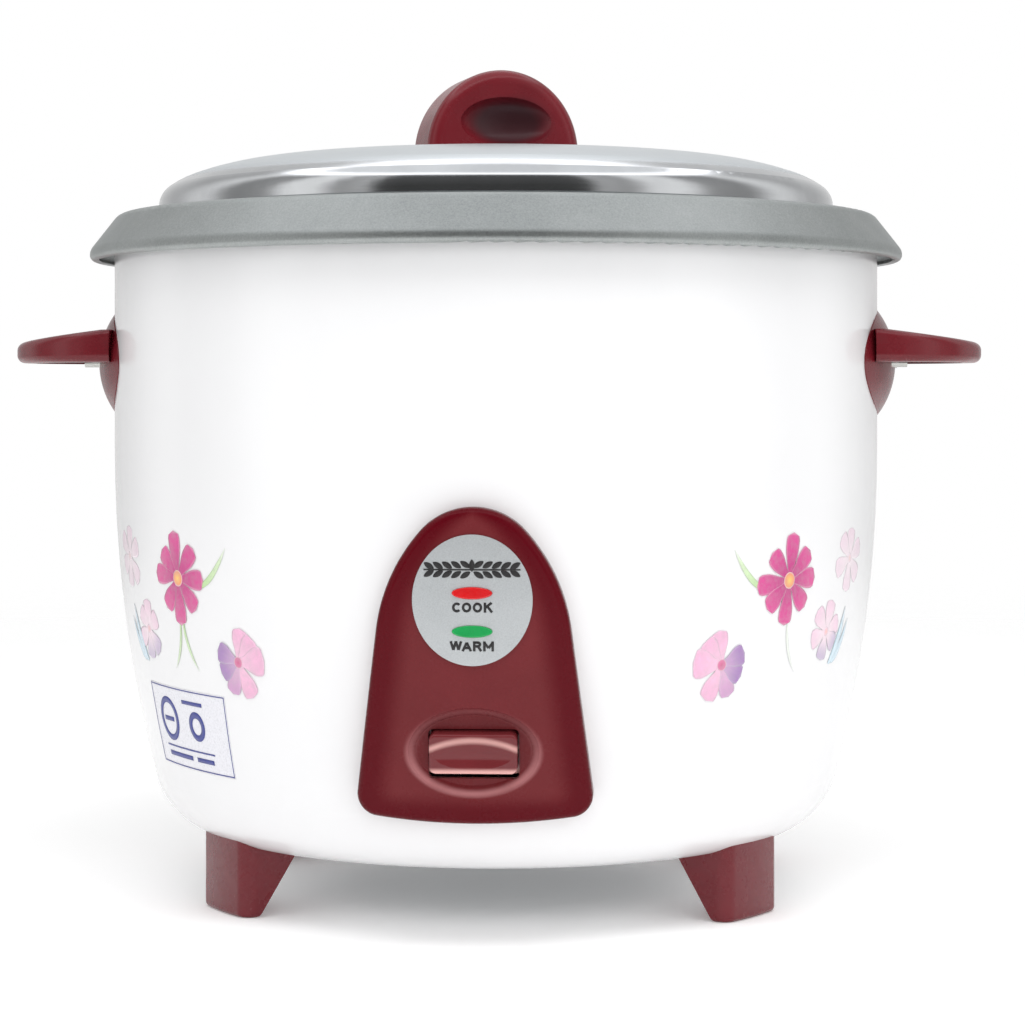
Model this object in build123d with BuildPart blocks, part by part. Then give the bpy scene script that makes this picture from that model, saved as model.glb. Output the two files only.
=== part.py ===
"""Drum rice cooker: white drawn drum on four feet, lift-out pot with a wide skirt, steel lid.

Millimetres. The origin is on the drum's axis in the plane of the soles, +Z is up, the control
panel faces -Y and the ear handles stand out along +X and -X.
"""
from build123d import *
import os
from math import asin, cos, degrees, radians, sin, sqrt, tan

os.makedirs("parts", exist_ok=True)

# ---------------------------------------------------------------- driving dimensions
# Drum: a straight upper wall, a long taper below it and a round bottom corner
shell_r = 125.0
shell_t = 0.8
floor_z = 20.0
taper_top_z = 145.0
taper_r = 428.0
corner_r = 25.0
rim_z = 218.6
rim_bend_r = 6.6
rim_lip_r = 114.5
rim_lip_z = 208.0

# Inner liner, pot and lid
liner_t = 0.6
liner_floor_z = 62.0
liner_top_z = 216.0
pot_r = 104.0
pot_t = 1.3
pot_floor_z = 83.3
pot_corner_r = 16.0
seat_z = 220.0
skirt_top_r = 121.8
skirt_slope = 52.0
skirt_run = 7.25
lid_apex_z = 241.3
lid_dome_r = 860.0
lid_dome_edge_r = 78.0
lid_t = 0.8

# Lid knob
knob_turn = 18.0
knob_centre_z = 241.0
knob_half_width = 25.5
knob_rise = 27.0
knob_thick = 26.0

# Handles
handle_z = 172.0
handle_tip_r = 159.0
handle_half_width = 41.5
handle_half_height = 17.3
handle_crown = 6.0
handle_screw_y = 18.0

# Feet
foot_azimuth = 56.2
foot_outer_r = 100.5
foot_half_width = 15.0
foot_corner_r = 4.5
foot_top_inner_r = 80.6
foot_sole_inner_r = 94.0
foot_edge_r = 1.6
foot_wall = 2.2
foot_screw_r = 84.5
foot_boss_r = 4.2
foot_boss_bottom_z = 9.0

# Control panel
panel_face_r = 131.0
panel_face_top_z = 136.0
panel_curve_r = 478.0
panel_skin = 2.2
panel_top_z = 129.7
panel_corner_z = 40.6
panel_bottom_z = 38.0
panel_corner_r = 6.5
arch_top_r = 20.1
arch_top_turn = 48.2
arch_side_r = 53.0
arch_side_turn = 34.5
badge_half_width = 17.2
badge_half_height = 18.8
badge_z = 103.2
badge_t = 0.6
cook_lamp_z = 105.3
warm_lamp_z = 94.3
lens_half_width = 5.8
lens_half_height = 1.75
panel_screw_spots = [(-22.0, 76.0), (22.0, 76.0), (0.0, 122.0)]

# Cook key and switch lever
key_z = 59.0
key_width = 25.4
key_height = 11.8
key_travel = 2.1
pivot_y = -96.0
pivot_z = 44.0
lever_t = 2.0
lever_half_width = 5.0
pin_r = 1.5
bracket_t = 1.5
bracket_inner_x = 5.4
plunger_y = -74.0

# Heater and thermostat
plate_r = 85.0
plate_top_z = 81.7
plate_t = 8.0
plate_bore_r = 21.0
element_ring_r = 60.0
element_tube_r = 4.0
element_z = 70.5
element_gap = 40.0
terminal_bottom_z = 54.0
case_r = 20.0
case_floor_z = 58.0
cap_r = 18.0
cap_bottom_z = 73.0
ferrite_r = 12.5
magnet_top_z = 67.6
rod_r = 2.0

# Power inlet at the back
inlet_z = 50.0
inlet_half_width = 13.0
inlet_half_height = 9.0

# Fasteners and wiring
screw_r = 1.5
screw_head_r = 3.0
screw_head_h = 2.0
fit_gap = 0.05
lead_r = 1.3

# ---------------------------------------------------------------- derived places
lean = degrees(asin((taper_top_z - floor_z - corner_r) / (taper_r - corner_r)))
taper_centre = (shell_r - taper_r, taper_top_z)
corner_centre = (taper_centre[0] + (taper_r - corner_r) * cos(radians(lean)), floor_z + corner_r)
floor_top_z = floor_z + shell_t


def polar(centre, radius, angle):
    """Point on a circle in a section plane."""
    return (centre[0] + radius * cos(radians(angle)), centre[1] + radius * sin(radians(angle)))


def shell_radius(z):
    """Radius of the drum's outer surface at a height on the taper or above it."""
    drop = max(taper_top_z - z, 0.0)
    return taper_centre[0] + sqrt(taper_r**2 - drop**2)


def panel_radius(z):
    """Radius of the control panel's face at a height."""
    drop = panel_face_top_z - z
    return panel_face_r - panel_curve_r + sqrt(panel_curve_r**2 - drop**2)


def radial_plane(azimuth):
    """Upright plane through the axis, its local x pointing outwards at the azimuth."""
    a = radians(azimuth)
    return Plane(origin=(0, 0, 0), x_dir=(cos(a), sin(a), 0), z_dir=(sin(a), -cos(a), 0))


def drum_solid(offset, top_z):
    """Solid drum whose wall stands an offset outside the shell's outer surface."""
    with BuildPart() as drum:
        with BuildSketch(Plane.XZ):
            with BuildLine():
                base = Line((0, floor_z - offset), (corner_centre[0], floor_z - offset))
                corner = ThreePointArc(
                    base @ 1,
                    polar(corner_centre, corner_r + offset, -(90 + lean) / 2),
                    polar(corner_centre, corner_r + offset, -lean),
                )
                taper = ThreePointArc(
                    corner @ 1,
                    polar(taper_centre, taper_r + offset, -lean / 2),
                    polar(taper_centre, taper_r + offset, 0),
                )
                wall = Line(taper @ 1, (shell_r + offset, top_z))
                top = Line(wall @ 1, (0, top_z))
                Line(top @ 1, base @ 0)
            make_face()
        revolve(axis=Axis.Z)
    return drum.part


def panel_drum(offset):
    """Solid of revolution whose wall stands an offset outside the panel's face."""
    low_z = floor_z
    mid_z = (low_z + panel_face_top_z) / 2
    with BuildPart() as drum:
        with BuildSketch(Plane.XZ):
            with BuildLine():
                face = ThreePointArc(
                    (panel_radius(low_z) + offset, low_z),
                    (panel_radius(mid_z) + offset, mid_z),
                    (panel_face_r + offset, panel_face_top_z),
                )
                Polyline(face @ 1, (0, panel_face_top_z), (0, low_z), face @ 0)
            make_face()
        revolve(axis=Axis.Z)
    return drum.part


def screw(plane, length, radius=screw_r, head_radius=screw_head_r):
    """Pan-head screw: its head stands on the plane's outer side, its shank goes down through it."""
    with BuildPart() as part:
        with BuildSketch(plane):
            Circle(head_radius)
        extrude(amount=screw_head_h)
        fillet(part.faces().sort_by(Axis(plane.origin, plane.z_dir))[-1].edges(), 0.8)
        with BuildSketch(plane.offset(screw_head_h)):
            RectangleRounded(head_radius, 0.8, 0.39)
            RectangleRounded(0.8, head_radius, 0.39)
        extrude(amount=-1.0, mode=Mode.SUBTRACT)
        with BuildSketch(plane):
            Circle(radius)
        extrude(amount=-length)
    return part.part


def lead(route, radius, bend):
    """Insulated wire: a round section swept along straight runs joined by arcs."""
    with BuildPart() as wire:
        with BuildLine() as path:
            FilletPolyline(*route, radius=bend)
        with BuildSketch(Plane(origin=path.line @ 0, z_dir=path.line % 0)):
            Circle(radius)
        sweep(path=path.line)
    return wire.part


def write(piece, name):
    """Label a finished piece and write its file."""
    piece.part.label = name
    export_step(piece.part, f"parts/{name}.step")


# ---------------------------------------------------------------- drum
inlet_plane = Plane(origin=(0, 0, inlet_z), x_dir=(-1, 0, 0), z_dir=(0, 1, 0))
floor_opening_r = 56.0
cover_screw_r = 59.5
lamp_window_r = 13.0
key_window = (35.0, 25.0)
drum_envelope = drum_solid(0, rim_z - rim_bend_r)
feet_azimuths = [-90 - foot_azimuth, -90 + foot_azimuth, 90 - foot_azimuth, 90 + foot_azimuth]

with BuildPart() as outer_shell:
    add(drum_envelope)
    add(drum_solid(-shell_t, rim_z - rim_bend_r), mode=Mode.SUBTRACT)
    # rolled top rim with its inner lip
    rim_centre = (shell_r - rim_bend_r, rim_z - rim_bend_r)
    with BuildSketch(Plane.XZ):
        with BuildLine():
            bend = ThreePointArc(
                polar(rim_centre, rim_bend_r, 0), polar(rim_centre, rim_bend_r, 45), polar(rim_centre, rim_bend_r, 90)
            )
            inner_bend_r = rim_bend_r - shell_t
            lip = Polyline(
                bend @ 1,
                (rim_lip_r, rim_z),
                (rim_lip_r, rim_lip_z),
                (rim_lip_r + shell_t, rim_lip_z),
                (rim_lip_r + shell_t, rim_z - shell_t),
                polar(rim_centre, inner_bend_r, 90),
            )
            inner_bend = ThreePointArc(
                lip @ 1, polar(rim_centre, inner_bend_r, 45), polar(rim_centre, inner_bend_r, 0)
            )
            Line(inner_bend @ 1, bend @ 0)
        make_face()
    revolve(axis=Axis.Z)
    # opening in the floor, closed by the bottom cover
    with BuildSketch(Plane.XY.offset(floor_z - 1)):
        Circle(floor_opening_r)
        with PolarLocations(cover_screw_r, 3, start_angle=90):
            Circle(screw_r - 0.3)
        with Locations(*[polar((0, 0), foot_screw_r, a) for a in feet_azimuths]):
            Circle(screw_r + 0.3)
    extrude(amount=shell_t + 2, mode=Mode.SUBTRACT)
    # windows and screw holes behind the control panel
    with BuildSketch(Plane.XZ.offset(100)):
        with Locations((0, (cook_lamp_z + warm_lamp_z) / 2)):
            Circle(lamp_window_r)
        with Locations((0, key_z)):
            RectangleRounded(*key_window, 3)
        with Locations(*panel_screw_spots):
            Circle(screw_r + 0.3)
    extrude(amount=30, mode=Mode.SUBTRACT)
    # window for the power inlet and its two screw holes
    with BuildSketch(inlet_plane.offset(100)):
        RectangleRounded(2 * inlet_half_width + 0.4, 2 * inlet_half_height + 0.4, 3)
    extrude(amount=30, mode=Mode.SUBTRACT)
    # handle screw holes
    with BuildSketch(Plane.YZ.offset(-140)):
        with Locations((-handle_screw_y, handle_z), (handle_screw_y, handle_z)):
            Circle(screw_r + 0.3)
    extrude(amount=280, mode=Mode.SUBTRACT)
write(outer_shell, "outer_shell")

# ---------------------------------------------------------------- inner liner
standoff_r = 75.0
terminal_azimuths = [90 - element_gap / 2, 90 + element_gap / 2]
liner_r = rim_lip_r - liner_t
liner_bore_r = 24.0
liner_corner_r = 8.0
with BuildPart() as inner_liner:
    with BuildSketch(Plane.XZ):
        with BuildLine():
            floor = Line((liner_bore_r, liner_floor_z + liner_t), (liner_r - liner_corner_r, liner_floor_z + liner_t))
            corner = JernArc(floor @ 1, (1, 0), liner_corner_r, 90)
            wall = Line(corner @ 1, (liner_r, liner_top_z))
            offset(amount=liner_t, side=Side.RIGHT)
        make_face()
    revolve(axis=Axis.Z)
    with BuildSketch(Plane.XY.offset(liner_floor_z - 1)):
        with Locations(*[polar((0, 0), element_ring_r, a) for a in terminal_azimuths]):
            Circle(6)
        with PolarLocations(standoff_r, 3, start_angle=30):
            Circle(screw_r + 0.3)
    extrude(amount=3, mode=Mode.SUBTRACT)
write(inner_liner, "inner_liner")

# ---------------------------------------------------------------- bottom cover and its screws
cover_r = 62.0
cover_t = 0.8
vent_length = 10.0
vent_width = 3.0
vent_rings = [(18.0, 6), (32.0, 10), (46.0, 14)]
with BuildPart() as bottom_cover:
    with BuildSketch(Plane.XY.offset(floor_z - cover_t)):
        Circle(cover_r)
        for ring_r, count in vent_rings:
            with PolarLocations(ring_r, count):
                SlotOverall(vent_length, vent_width, mode=Mode.SUBTRACT)
        with PolarLocations(cover_screw_r, 3, start_angle=90):
            Circle(screw_r + 0.2, mode=Mode.SUBTRACT)
    extrude(amount=cover_t)
write(bottom_cover, "bottom_cover")

with BuildPart() as bottom_cover_screws:
    for azimuth in (90, 210, 330):
        spot = polar((0, 0), cover_screw_r, azimuth)
        seat = Plane(origin=(*spot, floor_z - cover_t), x_dir=(1, 0, 0), z_dir=(0, 0, -1))
        add(screw(seat, cover_t + shell_t + 4, screw_r - 0.3 - fit_gap))
write(bottom_cover_screws, "bottom_cover_screws")

# ---------------------------------------------------------------- feet
foot_top_z = floor_z + 8.0
foot_pocket_floor_z = 4.0
foot_pocket_inner_r = foot_sole_inner_r + 0.5
foot_hole_bottom_z = foot_boss_bottom_z + 2.0
foot_names = ["foot_front_left", "foot_front_right", "foot_rear_right", "foot_rear_left"]
for name, azimuth in zip(foot_names, feet_azimuths):
    side = radial_plane(azimuth)
    top_plane = Plane(origin=(0, 0, 0), x_dir=side.x_dir, z_dir=(0, 0, 1))
    with BuildPart() as foot:
        # block with a rounded outer face, cut to a sloping inner face
        with BuildSketch(top_plane) as plan:
            Circle(foot_outer_r)
            with Locations((foot_outer_r, 0)):
                Rectangle(2 * (foot_outer_r - foot_top_inner_r), 2 * foot_half_width, mode=Mode.INTERSECT)
            fillet(plan.vertices().sort_by(Axis.X)[-2:], foot_corner_r)
        extrude(amount=foot_top_z)
        with BuildSketch(side):
            Polygon(
                (foot_top_inner_r - 1, foot_top_z),
                (foot_top_inner_r - 1, floor_z),
                (foot_top_inner_r, floor_z),
                (foot_sole_inner_r, 0),
                (foot_outer_r + 1, 0),
                (foot_outer_r + 1, foot_top_z),
                align=None,
            )
        extrude(amount=foot_half_width + 1, both=True, mode=Mode.INTERSECT)
        fillet(foot.faces().sort_by(Axis.Z)[0].edges(), foot_edge_r)
        # pocket from above, behind the outer face
        with BuildSketch(top_plane.offset(foot_top_z)):
            Circle(foot_outer_r - foot_wall)
            with Locations((foot_pocket_inner_r + foot_outer_r, 0)):
                Rectangle(2 * foot_outer_r, 2 * (foot_half_width - foot_wall), mode=Mode.INTERSECT)
        extrude(amount=foot_pocket_floor_z - foot_top_z, mode=Mode.SUBTRACT)
        # screw boss on the inner face
        with BuildSketch(top_plane.offset(foot_boss_bottom_z)):
            with Locations((foot_screw_r, 0)):
                Circle(foot_boss_r)
        extrude(amount=floor_z - foot_boss_bottom_z)
        with BuildSketch(top_plane.offset(foot_hole_bottom_z)):
            with Locations((foot_screw_r, 0)):
                Circle(screw_r + fit_gap)
        extrude(amount=foot_top_z - foot_hole_bottom_z, mode=Mode.SUBTRACT)
        add(drum_envelope, mode=Mode.SUBTRACT)
    write(foot, name)

foot_screw_length = floor_top_z - foot_hole_bottom_z - 1.0
with BuildPart() as foot_screws:
    for azimuth in feet_azimuths:
        spot = polar((0, 0), foot_screw_r, azimuth)
        seat = Plane(origin=(*spot, floor_top_z), x_dir=(1, 0, 0), z_dir=(0, 0, 1))
        add(screw(seat, foot_screw_length, screw_r, screw_head_r + 0.5))
write(foot_screws, "foot_screws")

# ---------------------------------------------------------------- handles and their screws
ear_bottom_z = handle_z
ear_root_top_z = handle_z + 10.5
ear_tip_top_z = handle_z + 6.2
ear_half_width = 38.0
crown_r = 28.0
dome_turn_r = 73.7
for name, facing in (("handle_right", 1), ("handle_left", -1)):
    side = Plane(origin=(0, 0, 0), x_dir=(facing, 0, 0), z_dir=(0, -facing, 0))
    flat = Plane(origin=(0, 0, ear_bottom_z), x_dir=(facing, 0, 0), z_dir=(0, 0, 1))
    face = Plane(origin=(0, 0, handle_z), x_dir=(0, 1, 0), z_dir=(facing, 0, 0))
    crown_x = shell_r + handle_crown
    with BuildPart() as plate:
        # domed oval plate: a wide turned dome cut to an oval
        with BuildSketch(side):
            with BuildLine():
                dome = ThreePointArc(
                    (crown_x - crown_r, handle_z - crown_r),
                    (crown_x, handle_z),
                    (crown_x - crown_r, handle_z + crown_r),
                )
                Polyline(
                    dome @ 1,
                    (crown_x - dome_turn_r, handle_z + crown_r),
                    (crown_x - dome_turn_r, handle_z - crown_r),
                    dome @ 0,
                )
            make_face()
        turn_axis = Axis((facing * (crown_x - dome_turn_r), 0, 0), (0, 0, 1))
        revolve(axis=turn_axis)
        with BuildSketch(face):
            Ellipse(handle_half_width, handle_half_height)
        extrude(amount=crown_x + 5, mode=Mode.INTERSECT)
    with BuildPart() as handle:
        # ear: half an oval in plan, thinning towards its tip
        with BuildSketch(flat):
            with Locations((shell_r - 3, 0)):
                Ellipse(handle_tip_r - shell_r + 3, ear_half_width)
            with Locations((shell_r - 50, 0)):
                Rectangle(2 * 50 - 6, 2 * ear_half_width + 2, mode=Mode.SUBTRACT)
        extrude(amount=ear_root_top_z - ear_bottom_z)
        with BuildSketch(side):
            Polygon(
                (0, ear_bottom_z),
                (handle_tip_r + 1, ear_bottom_z),
                (handle_tip_r + 1, ear_tip_top_z),
                (shell_r, ear_root_top_z),
                (0, ear_root_top_z),
                align=None,
            )
        extrude(amount=handle_half_width, both=True, mode=Mode.INTERSECT)
        rounded = handle.edges().filter_by(
            lambda e: abs(e.center().X) > shell_r + 1 and e.length > ear_half_width
        )
        fillet(rounded, 2.6)
        # finger hollow in the underside
        with BuildSketch(flat):
            with Locations((shell_r - 3, 0)):
                Ellipse(handle_tip_r - shell_r - 3, ear_half_width - 6)
            with Locations((shell_r - 50 + 5, 0)):
                Rectangle(2 * 50, 2 * ear_half_width + 2, mode=Mode.SUBTRACT)
        extrude(amount=3.0, mode=Mode.SUBTRACT)
        add(plate.part)
        add(drum_envelope, mode=Mode.SUBTRACT)
        with BuildSketch(face.offset(shell_r - 12)):
            with Locations((-handle_screw_y, 0), (handle_screw_y, 0)):
                Circle(screw_r + fit_gap)
        extrude(amount=22, mode=Mode.SUBTRACT)
    write(handle, name)

handle_head_x = sqrt((shell_r - shell_t) ** 2 - (handle_screw_y + screw_head_r) ** 2)
with BuildPart() as handle_screws:
    for facing in (1, -1):
        for y in (-handle_screw_y, handle_screw_y):
            seat = Plane(origin=(facing * handle_head_x, y, handle_z), x_dir=(0, 1, 0), z_dir=(-facing, 0, 0))
            add(screw(seat, 11))
write(handle_screws, "handle_screws")

# ---------------------------------------------------------------- control panel
front = Plane.XZ.offset(90)
front_reach = 50.0
panel_lean = degrees(asin((panel_face_top_z - key_z) / panel_curve_r))
key_plane = Plane(
    origin=(0, -panel_radius(key_z), key_z),
    x_dir=(1, 0, 0),
    z_dir=(0, -cos(radians(panel_lean)), -sin(radians(panel_lean))),
)
dish_floor = -3.2
dish_back = -4.6
dish_inner = (16.8, 10.5)
dish_outer = (21.4, 14.2)
dish_mouth = 0.6
key_slot_drop = key_travel + 0.4
key_slot_gap = 0.4
pilot_cover = 3.4

with BuildSketch(front) as panel_outline:
    with BuildLine():
        arch_top = JernArc((0, panel_top_z), (1, 0), arch_top_r, -arch_top_turn)
        arch_side = JernArc(arch_top @ 1, arch_top % 1, arch_side_r, -arch_side_turn)
        heading = arch_side % 1
        flank_end = arch_side @ 1 + heading * ((panel_corner_z - (arch_side @ 1).Y) / heading.Y)
        flank = Line(arch_side @ 1, flank_end)
        mirror(arch_top, about=Plane.YZ)
        mirror(arch_side, about=Plane.YZ)
        mirror(flank, about=Plane.YZ)
        ThreePointArc((-flank_end.X, panel_corner_z), (0, panel_bottom_z), (flank_end.X, panel_corner_z))
    make_face()
    fillet(panel_outline.vertices().group_by(Axis.Y)[0], panel_corner_r)

with BuildPart() as panel_cavity:
    with BuildSketch(front):
        add(panel_outline.sketch)
        offset(amount=-panel_skin, mode=Mode.REPLACE)
    extrude(amount=front_reach)
    add(panel_drum(-panel_skin), mode=Mode.INTERSECT)
    # material left standing: the dish around the key and the screw bosses
    with BuildSketch(key_plane.offset(dish_back)):
        Ellipse(dish_outer[0] + 1, dish_outer[1] + 1)
    extrude(amount=20, mode=Mode.SUBTRACT)
    with BuildSketch(front):
        with Locations(*panel_screw_spots):
            Circle(3.5)
    extrude(amount=front_reach, mode=Mode.SUBTRACT)

with BuildPart() as control_panel:
    with BuildSketch(front):
        add(panel_outline.sketch)
    extrude(amount=front_reach)
    add(panel_drum(0), mode=Mode.INTERSECT)
    fillet(control_panel.faces().sort_by(Axis.Y)[0].edges(), 2.4)
    add(panel_cavity.part, mode=Mode.SUBTRACT)
    add(drum_envelope, mode=Mode.SUBTRACT)
    # oval dish around the key, and the slot that the key comes through
    with BuildSketch(key_plane.offset(dish_floor)):
        Ellipse(*dish_inner)
    with BuildSketch(key_plane.offset(dish_mouth)):
        Ellipse(*dish_outer)
    loft(mode=Mode.SUBTRACT)
    slot_height = key_height + key_slot_drop + key_slot_gap
    with BuildSketch(key_plane.offset(dish_floor - 6)):
        with Locations((0, (key_slot_gap - key_slot_drop) / 2)):
            RectangleRounded(key_width + 2 * key_slot_gap, slot_height, 1.6)
    extrude(amount=12, mode=Mode.SUBTRACT)
    # lamp windows and pilot holes
    with BuildSketch(front):
        for z in (cook_lamp_z, warm_lamp_z):
            with Locations((0, z)):
                Ellipse(lens_half_width + fit_gap, lens_half_height + fit_gap)
    extrude(amount=front_reach, mode=Mode.SUBTRACT)
    for x, z in panel_screw_spots:
        with BuildSketch(front):
            with Locations((x, z)):
                Circle(screw_r - 0.2 + fit_gap)
        extrude(amount=panel_radius(z) - 90 - pilot_cover, mode=Mode.SUBTRACT)
write(control_panel, "control_panel")

with BuildPart() as panel_screws:
    for x, z in panel_screw_spots:
        wall_y = -sqrt((shell_radius(z - screw_head_r) - shell_t) ** 2 - (abs(x) + screw_head_r) ** 2)
        seat = Plane(origin=(x, wall_y, z), x_dir=(1, 0, 0), z_dir=(0, 1, 0))
        add(screw(seat, panel_radius(z) - pilot_cover - 0.3 + wall_y, screw_r - 0.2))
write(panel_screws, "panel_screws")

# ---------------------------------------------------------------- badge, lenses and lamps
with BuildPart() as panel_badge:
    with BuildSketch(front):
        with Locations((0, badge_z)):
            Ellipse(badge_half_width, badge_half_height)
        for z in (cook_lamp_z, warm_lamp_z):
            with Locations((0, z)):
                Ellipse(lens_half_width + fit_gap, lens_half_height + fit_gap, mode=Mode.SUBTRACT)
    extrude(amount=front_reach)
    add(panel_drum(badge_t), mode=Mode.INTERSECT)
    add(panel_drum(0), mode=Mode.SUBTRACT)
write(panel_badge, "panel_badge")

lens_proud = 1.3
lens_flange = 1.0
lens_back_gap = 0.7
for name, z in (("cook_lamp_lens", cook_lamp_z), ("warm_lamp_lens", warm_lamp_z)):
    skin_y = panel_radius(z) - panel_skin - lens_back_gap
    with BuildPart() as lens:
        with BuildSketch(Plane.XZ.offset(skin_y)):
            with Locations((0, z)):
                Ellipse(lens_half_width, lens_half_height)
        extrude(amount=panel_skin + lens_back_gap + lens_proud)
        fillet(lens.faces().sort_by(Axis.Y)[0].edges(), 0.4)
        with BuildSketch(Plane.XZ.offset(skin_y - lens_flange)):
            with Locations((0, z)):
                RectangleRounded(2 * lens_half_width + 4, 2 * lens_half_height + 3, 1)
        extrude(amount=lens_flange)
    write(lens, name)

lamp_r = 2.2
lamp_length = 12.0
lamp_y = -122.6
holder_t = 1.5
holder_y = lamp_y + lamp_r + 0.1
with BuildPart() as neon_lamps:
    for z in (cook_lamp_z, warm_lamp_z):
        with BuildSketch(Plane(origin=(-lamp_length / 2, lamp_y, z), z_dir=(1, 0, 0))):
            Circle(lamp_r)
        extrude(amount=lamp_length)
    fillet(neon_lamps.edges().filter_by(GeomType.CIRCLE), 1.2)
write(neon_lamps, "neon_lamps")

with BuildPart() as lamp_holder:
    with BuildSketch(Plane.XZ.offset(-holder_y - holder_t)):
        with Locations((0, (cook_lamp_z + warm_lamp_z) / 2)):
            RectangleRounded(14, 20, 2)
    extrude(amount=holder_t)
    # peg that reaches forward between the lamps to the back of the panel
    with BuildSketch(Plane.XZ.offset(-holder_y)):
        with Locations((0, (cook_lamp_z + warm_lamp_z) / 2)):
            Circle(1.6)
    extrude(amount=panel_radius(cook_lamp_z) - panel_skin - 0.5 + holder_y)
write(lamp_holder, "lamp_holder")

# ---------------------------------------------------------------- cook key and switch lever
key_front = 1.4
key_flange_depth = -8.0
key_flange_t = 1.0
stem_size = (13.0, 7.0)
stem_back_y = -105.0
lever_tip_z = 57.0
with BuildPart() as cook_key:
    with BuildSketch(key_plane.offset(key_flange_depth)):
        RectangleRounded(key_width, key_height, 2.0)
    extrude(amount=key_front - key_flange_depth)
    fillet(cook_key.faces().sort_by(Axis.Y)[0].edges(), 0.9)
    # thumb scoop: the side of a long egg sunk into the face
    scoop_depth = 1.2
    scoop_r = 9.0
    with BuildSketch(key_plane.offset(key_front + scoop_r - scoop_depth)):
        with BuildLine():
            egg = EllipticalCenterArc((0, 0), 23.0, scoop_r, start_angle=0, arc_size=180)
            Line(egg @ 1, egg @ 0)
        make_face()
    egg_axis = Axis(key_plane.offset(key_front + scoop_r - scoop_depth).origin, (1, 0, 0))
    revolve(axis=egg_axis, mode=Mode.SUBTRACT)
    with BuildSketch(key_plane.offset(key_flange_depth)):
        RectangleRounded(key_width + 5, key_height + 4, 2.5)
    extrude(amount=key_flange_t)
    # stem that grips the lever's tip
    with BuildSketch(Plane.XZ.offset(-stem_back_y)):
        with Locations((0, lever_tip_z)):
            RectangleRounded(*stem_size, 1)
    extrude(amount=panel_radius(key_z) + key_flange_depth + stem_back_y)
    with BuildSketch(Plane.XZ.offset(-stem_back_y)):
        with Locations((0, lever_tip_z)):
            Rectangle(2 * lever_half_width + 2 * fit_gap, lever_t + 2 * fit_gap)
    extrude(amount=9, mode=Mode.SUBTRACT)
write(cook_key, "cook_key")

lever_boss_r = 3.4
rod_slot = 5.6
with BuildPart() as switch_lever:
    half_t = lever_t / 2
    with BuildSketch(Plane.YZ):
        with BuildLine():
            Polyline(
                (6, pivot_z - half_t),
                (pivot_y, pivot_z - half_t),
                (pivot_y - 4.5, pivot_z + 2),
                (pivot_y - 8, lever_tip_z - half_t),
                (stem_back_y - 8, lever_tip_z - half_t),
                (stem_back_y - 8, lever_tip_z + half_t),
                (pivot_y - 6.5, lever_tip_z + half_t),
                (pivot_y - 2, pivot_z + 3),
                (pivot_y, pivot_z + half_t),
                (6, pivot_z + half_t),
                close=True,
            )
        make_face()
        with Locations((pivot_y, pivot_z)):
            Circle(lever_boss_r)
            Circle(pin_r + fit_gap, mode=Mode.SUBTRACT)
    extrude(amount=lever_half_width, both=True)
    # open slot for the magnet rod
    with BuildSketch(Plane.XY.offset(pivot_z - 3)):
        with Locations((0, 4)):
            Rectangle(rod_slot, 14)
    extrude(amount=6, mode=Mode.SUBTRACT)
write(switch_lever, "switch_lever")

switch_front_y = -85.0
switch_rear_y = -64.5
switch_screw_spots = [(switch_front_y + 4, 56.0), (switch_rear_y - 4, 56.0)]
cheek_top_z = 59.5
cheek_front_y = -100.5
cheek_rear_y = -62.0
cheek_step_y = -88.0
with BuildPart() as lever_bracket:
    for x in (bracket_inner_x, -bracket_inner_x - bracket_t):
        with BuildSketch(Plane.YZ.offset(x)):
            Polygon(
                (cheek_rear_y, floor_top_z),
                (cheek_rear_y, cheek_top_z),
                (cheek_step_y, cheek_top_z),
                (cheek_step_y, pivot_z + 6),
                (cheek_front_y, pivot_z + 6),
                (cheek_front_y, pivot_z - 6),
                (cheek_step_y + 2, floor_top_z + 4),
                (cheek_step_y + 2, floor_top_z),
                align=None,
            )
            with Locations((pivot_y, pivot_z)):
                Circle(pin_r + fit_gap, mode=Mode.SUBTRACT)
            with Locations(*switch_screw_spots):
                Circle(1.0 + fit_gap, mode=Mode.SUBTRACT)
        extrude(amount=bracket_t)
    with BuildSketch(Plane.XY.offset(floor_top_z)):
        with Locations((0, (cheek_rear_y + cheek_step_y + 2) / 2)):
            Rectangle(2 * (bracket_inner_x + bracket_t), cheek_rear_y - cheek_step_y - 2)
    extrude(amount=bracket_t)
write(lever_bracket, "lever_bracket")

pin_left_x = -9.0
pin_right_x = 12.5
with BuildPart() as lever_pin:
    with BuildSketch(Plane(origin=(pin_left_x, pivot_y, pivot_z), z_dir=(1, 0, 0))):
        Circle(pin_r)
    extrude(amount=pin_right_x - pin_left_x)
    with BuildSketch(Plane(origin=(pin_left_x - 1, pivot_y, pivot_z), z_dir=(1, 0, 0))):
        Circle(pin_r + 1)
    extrude(amount=1)
write(lever_pin, "lever_pin")

return_wire_r = 0.35
return_coil_r = 2.4
with BuildPart() as lever_return_spring:
    with BuildLine() as coil:
        Helix(pitch=0.9, height=3.6, radius=return_coil_r, center=(7.6, pivot_y, pivot_z), direction=(1, 0, 0))
    with BuildSketch(Plane(origin=coil.line @ 0, z_dir=coil.line % 0)):
        Circle(return_wire_r)
    sweep(path=coil.line, is_frenet=True)
write(lever_return_spring, "lever_return_spring")

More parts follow.
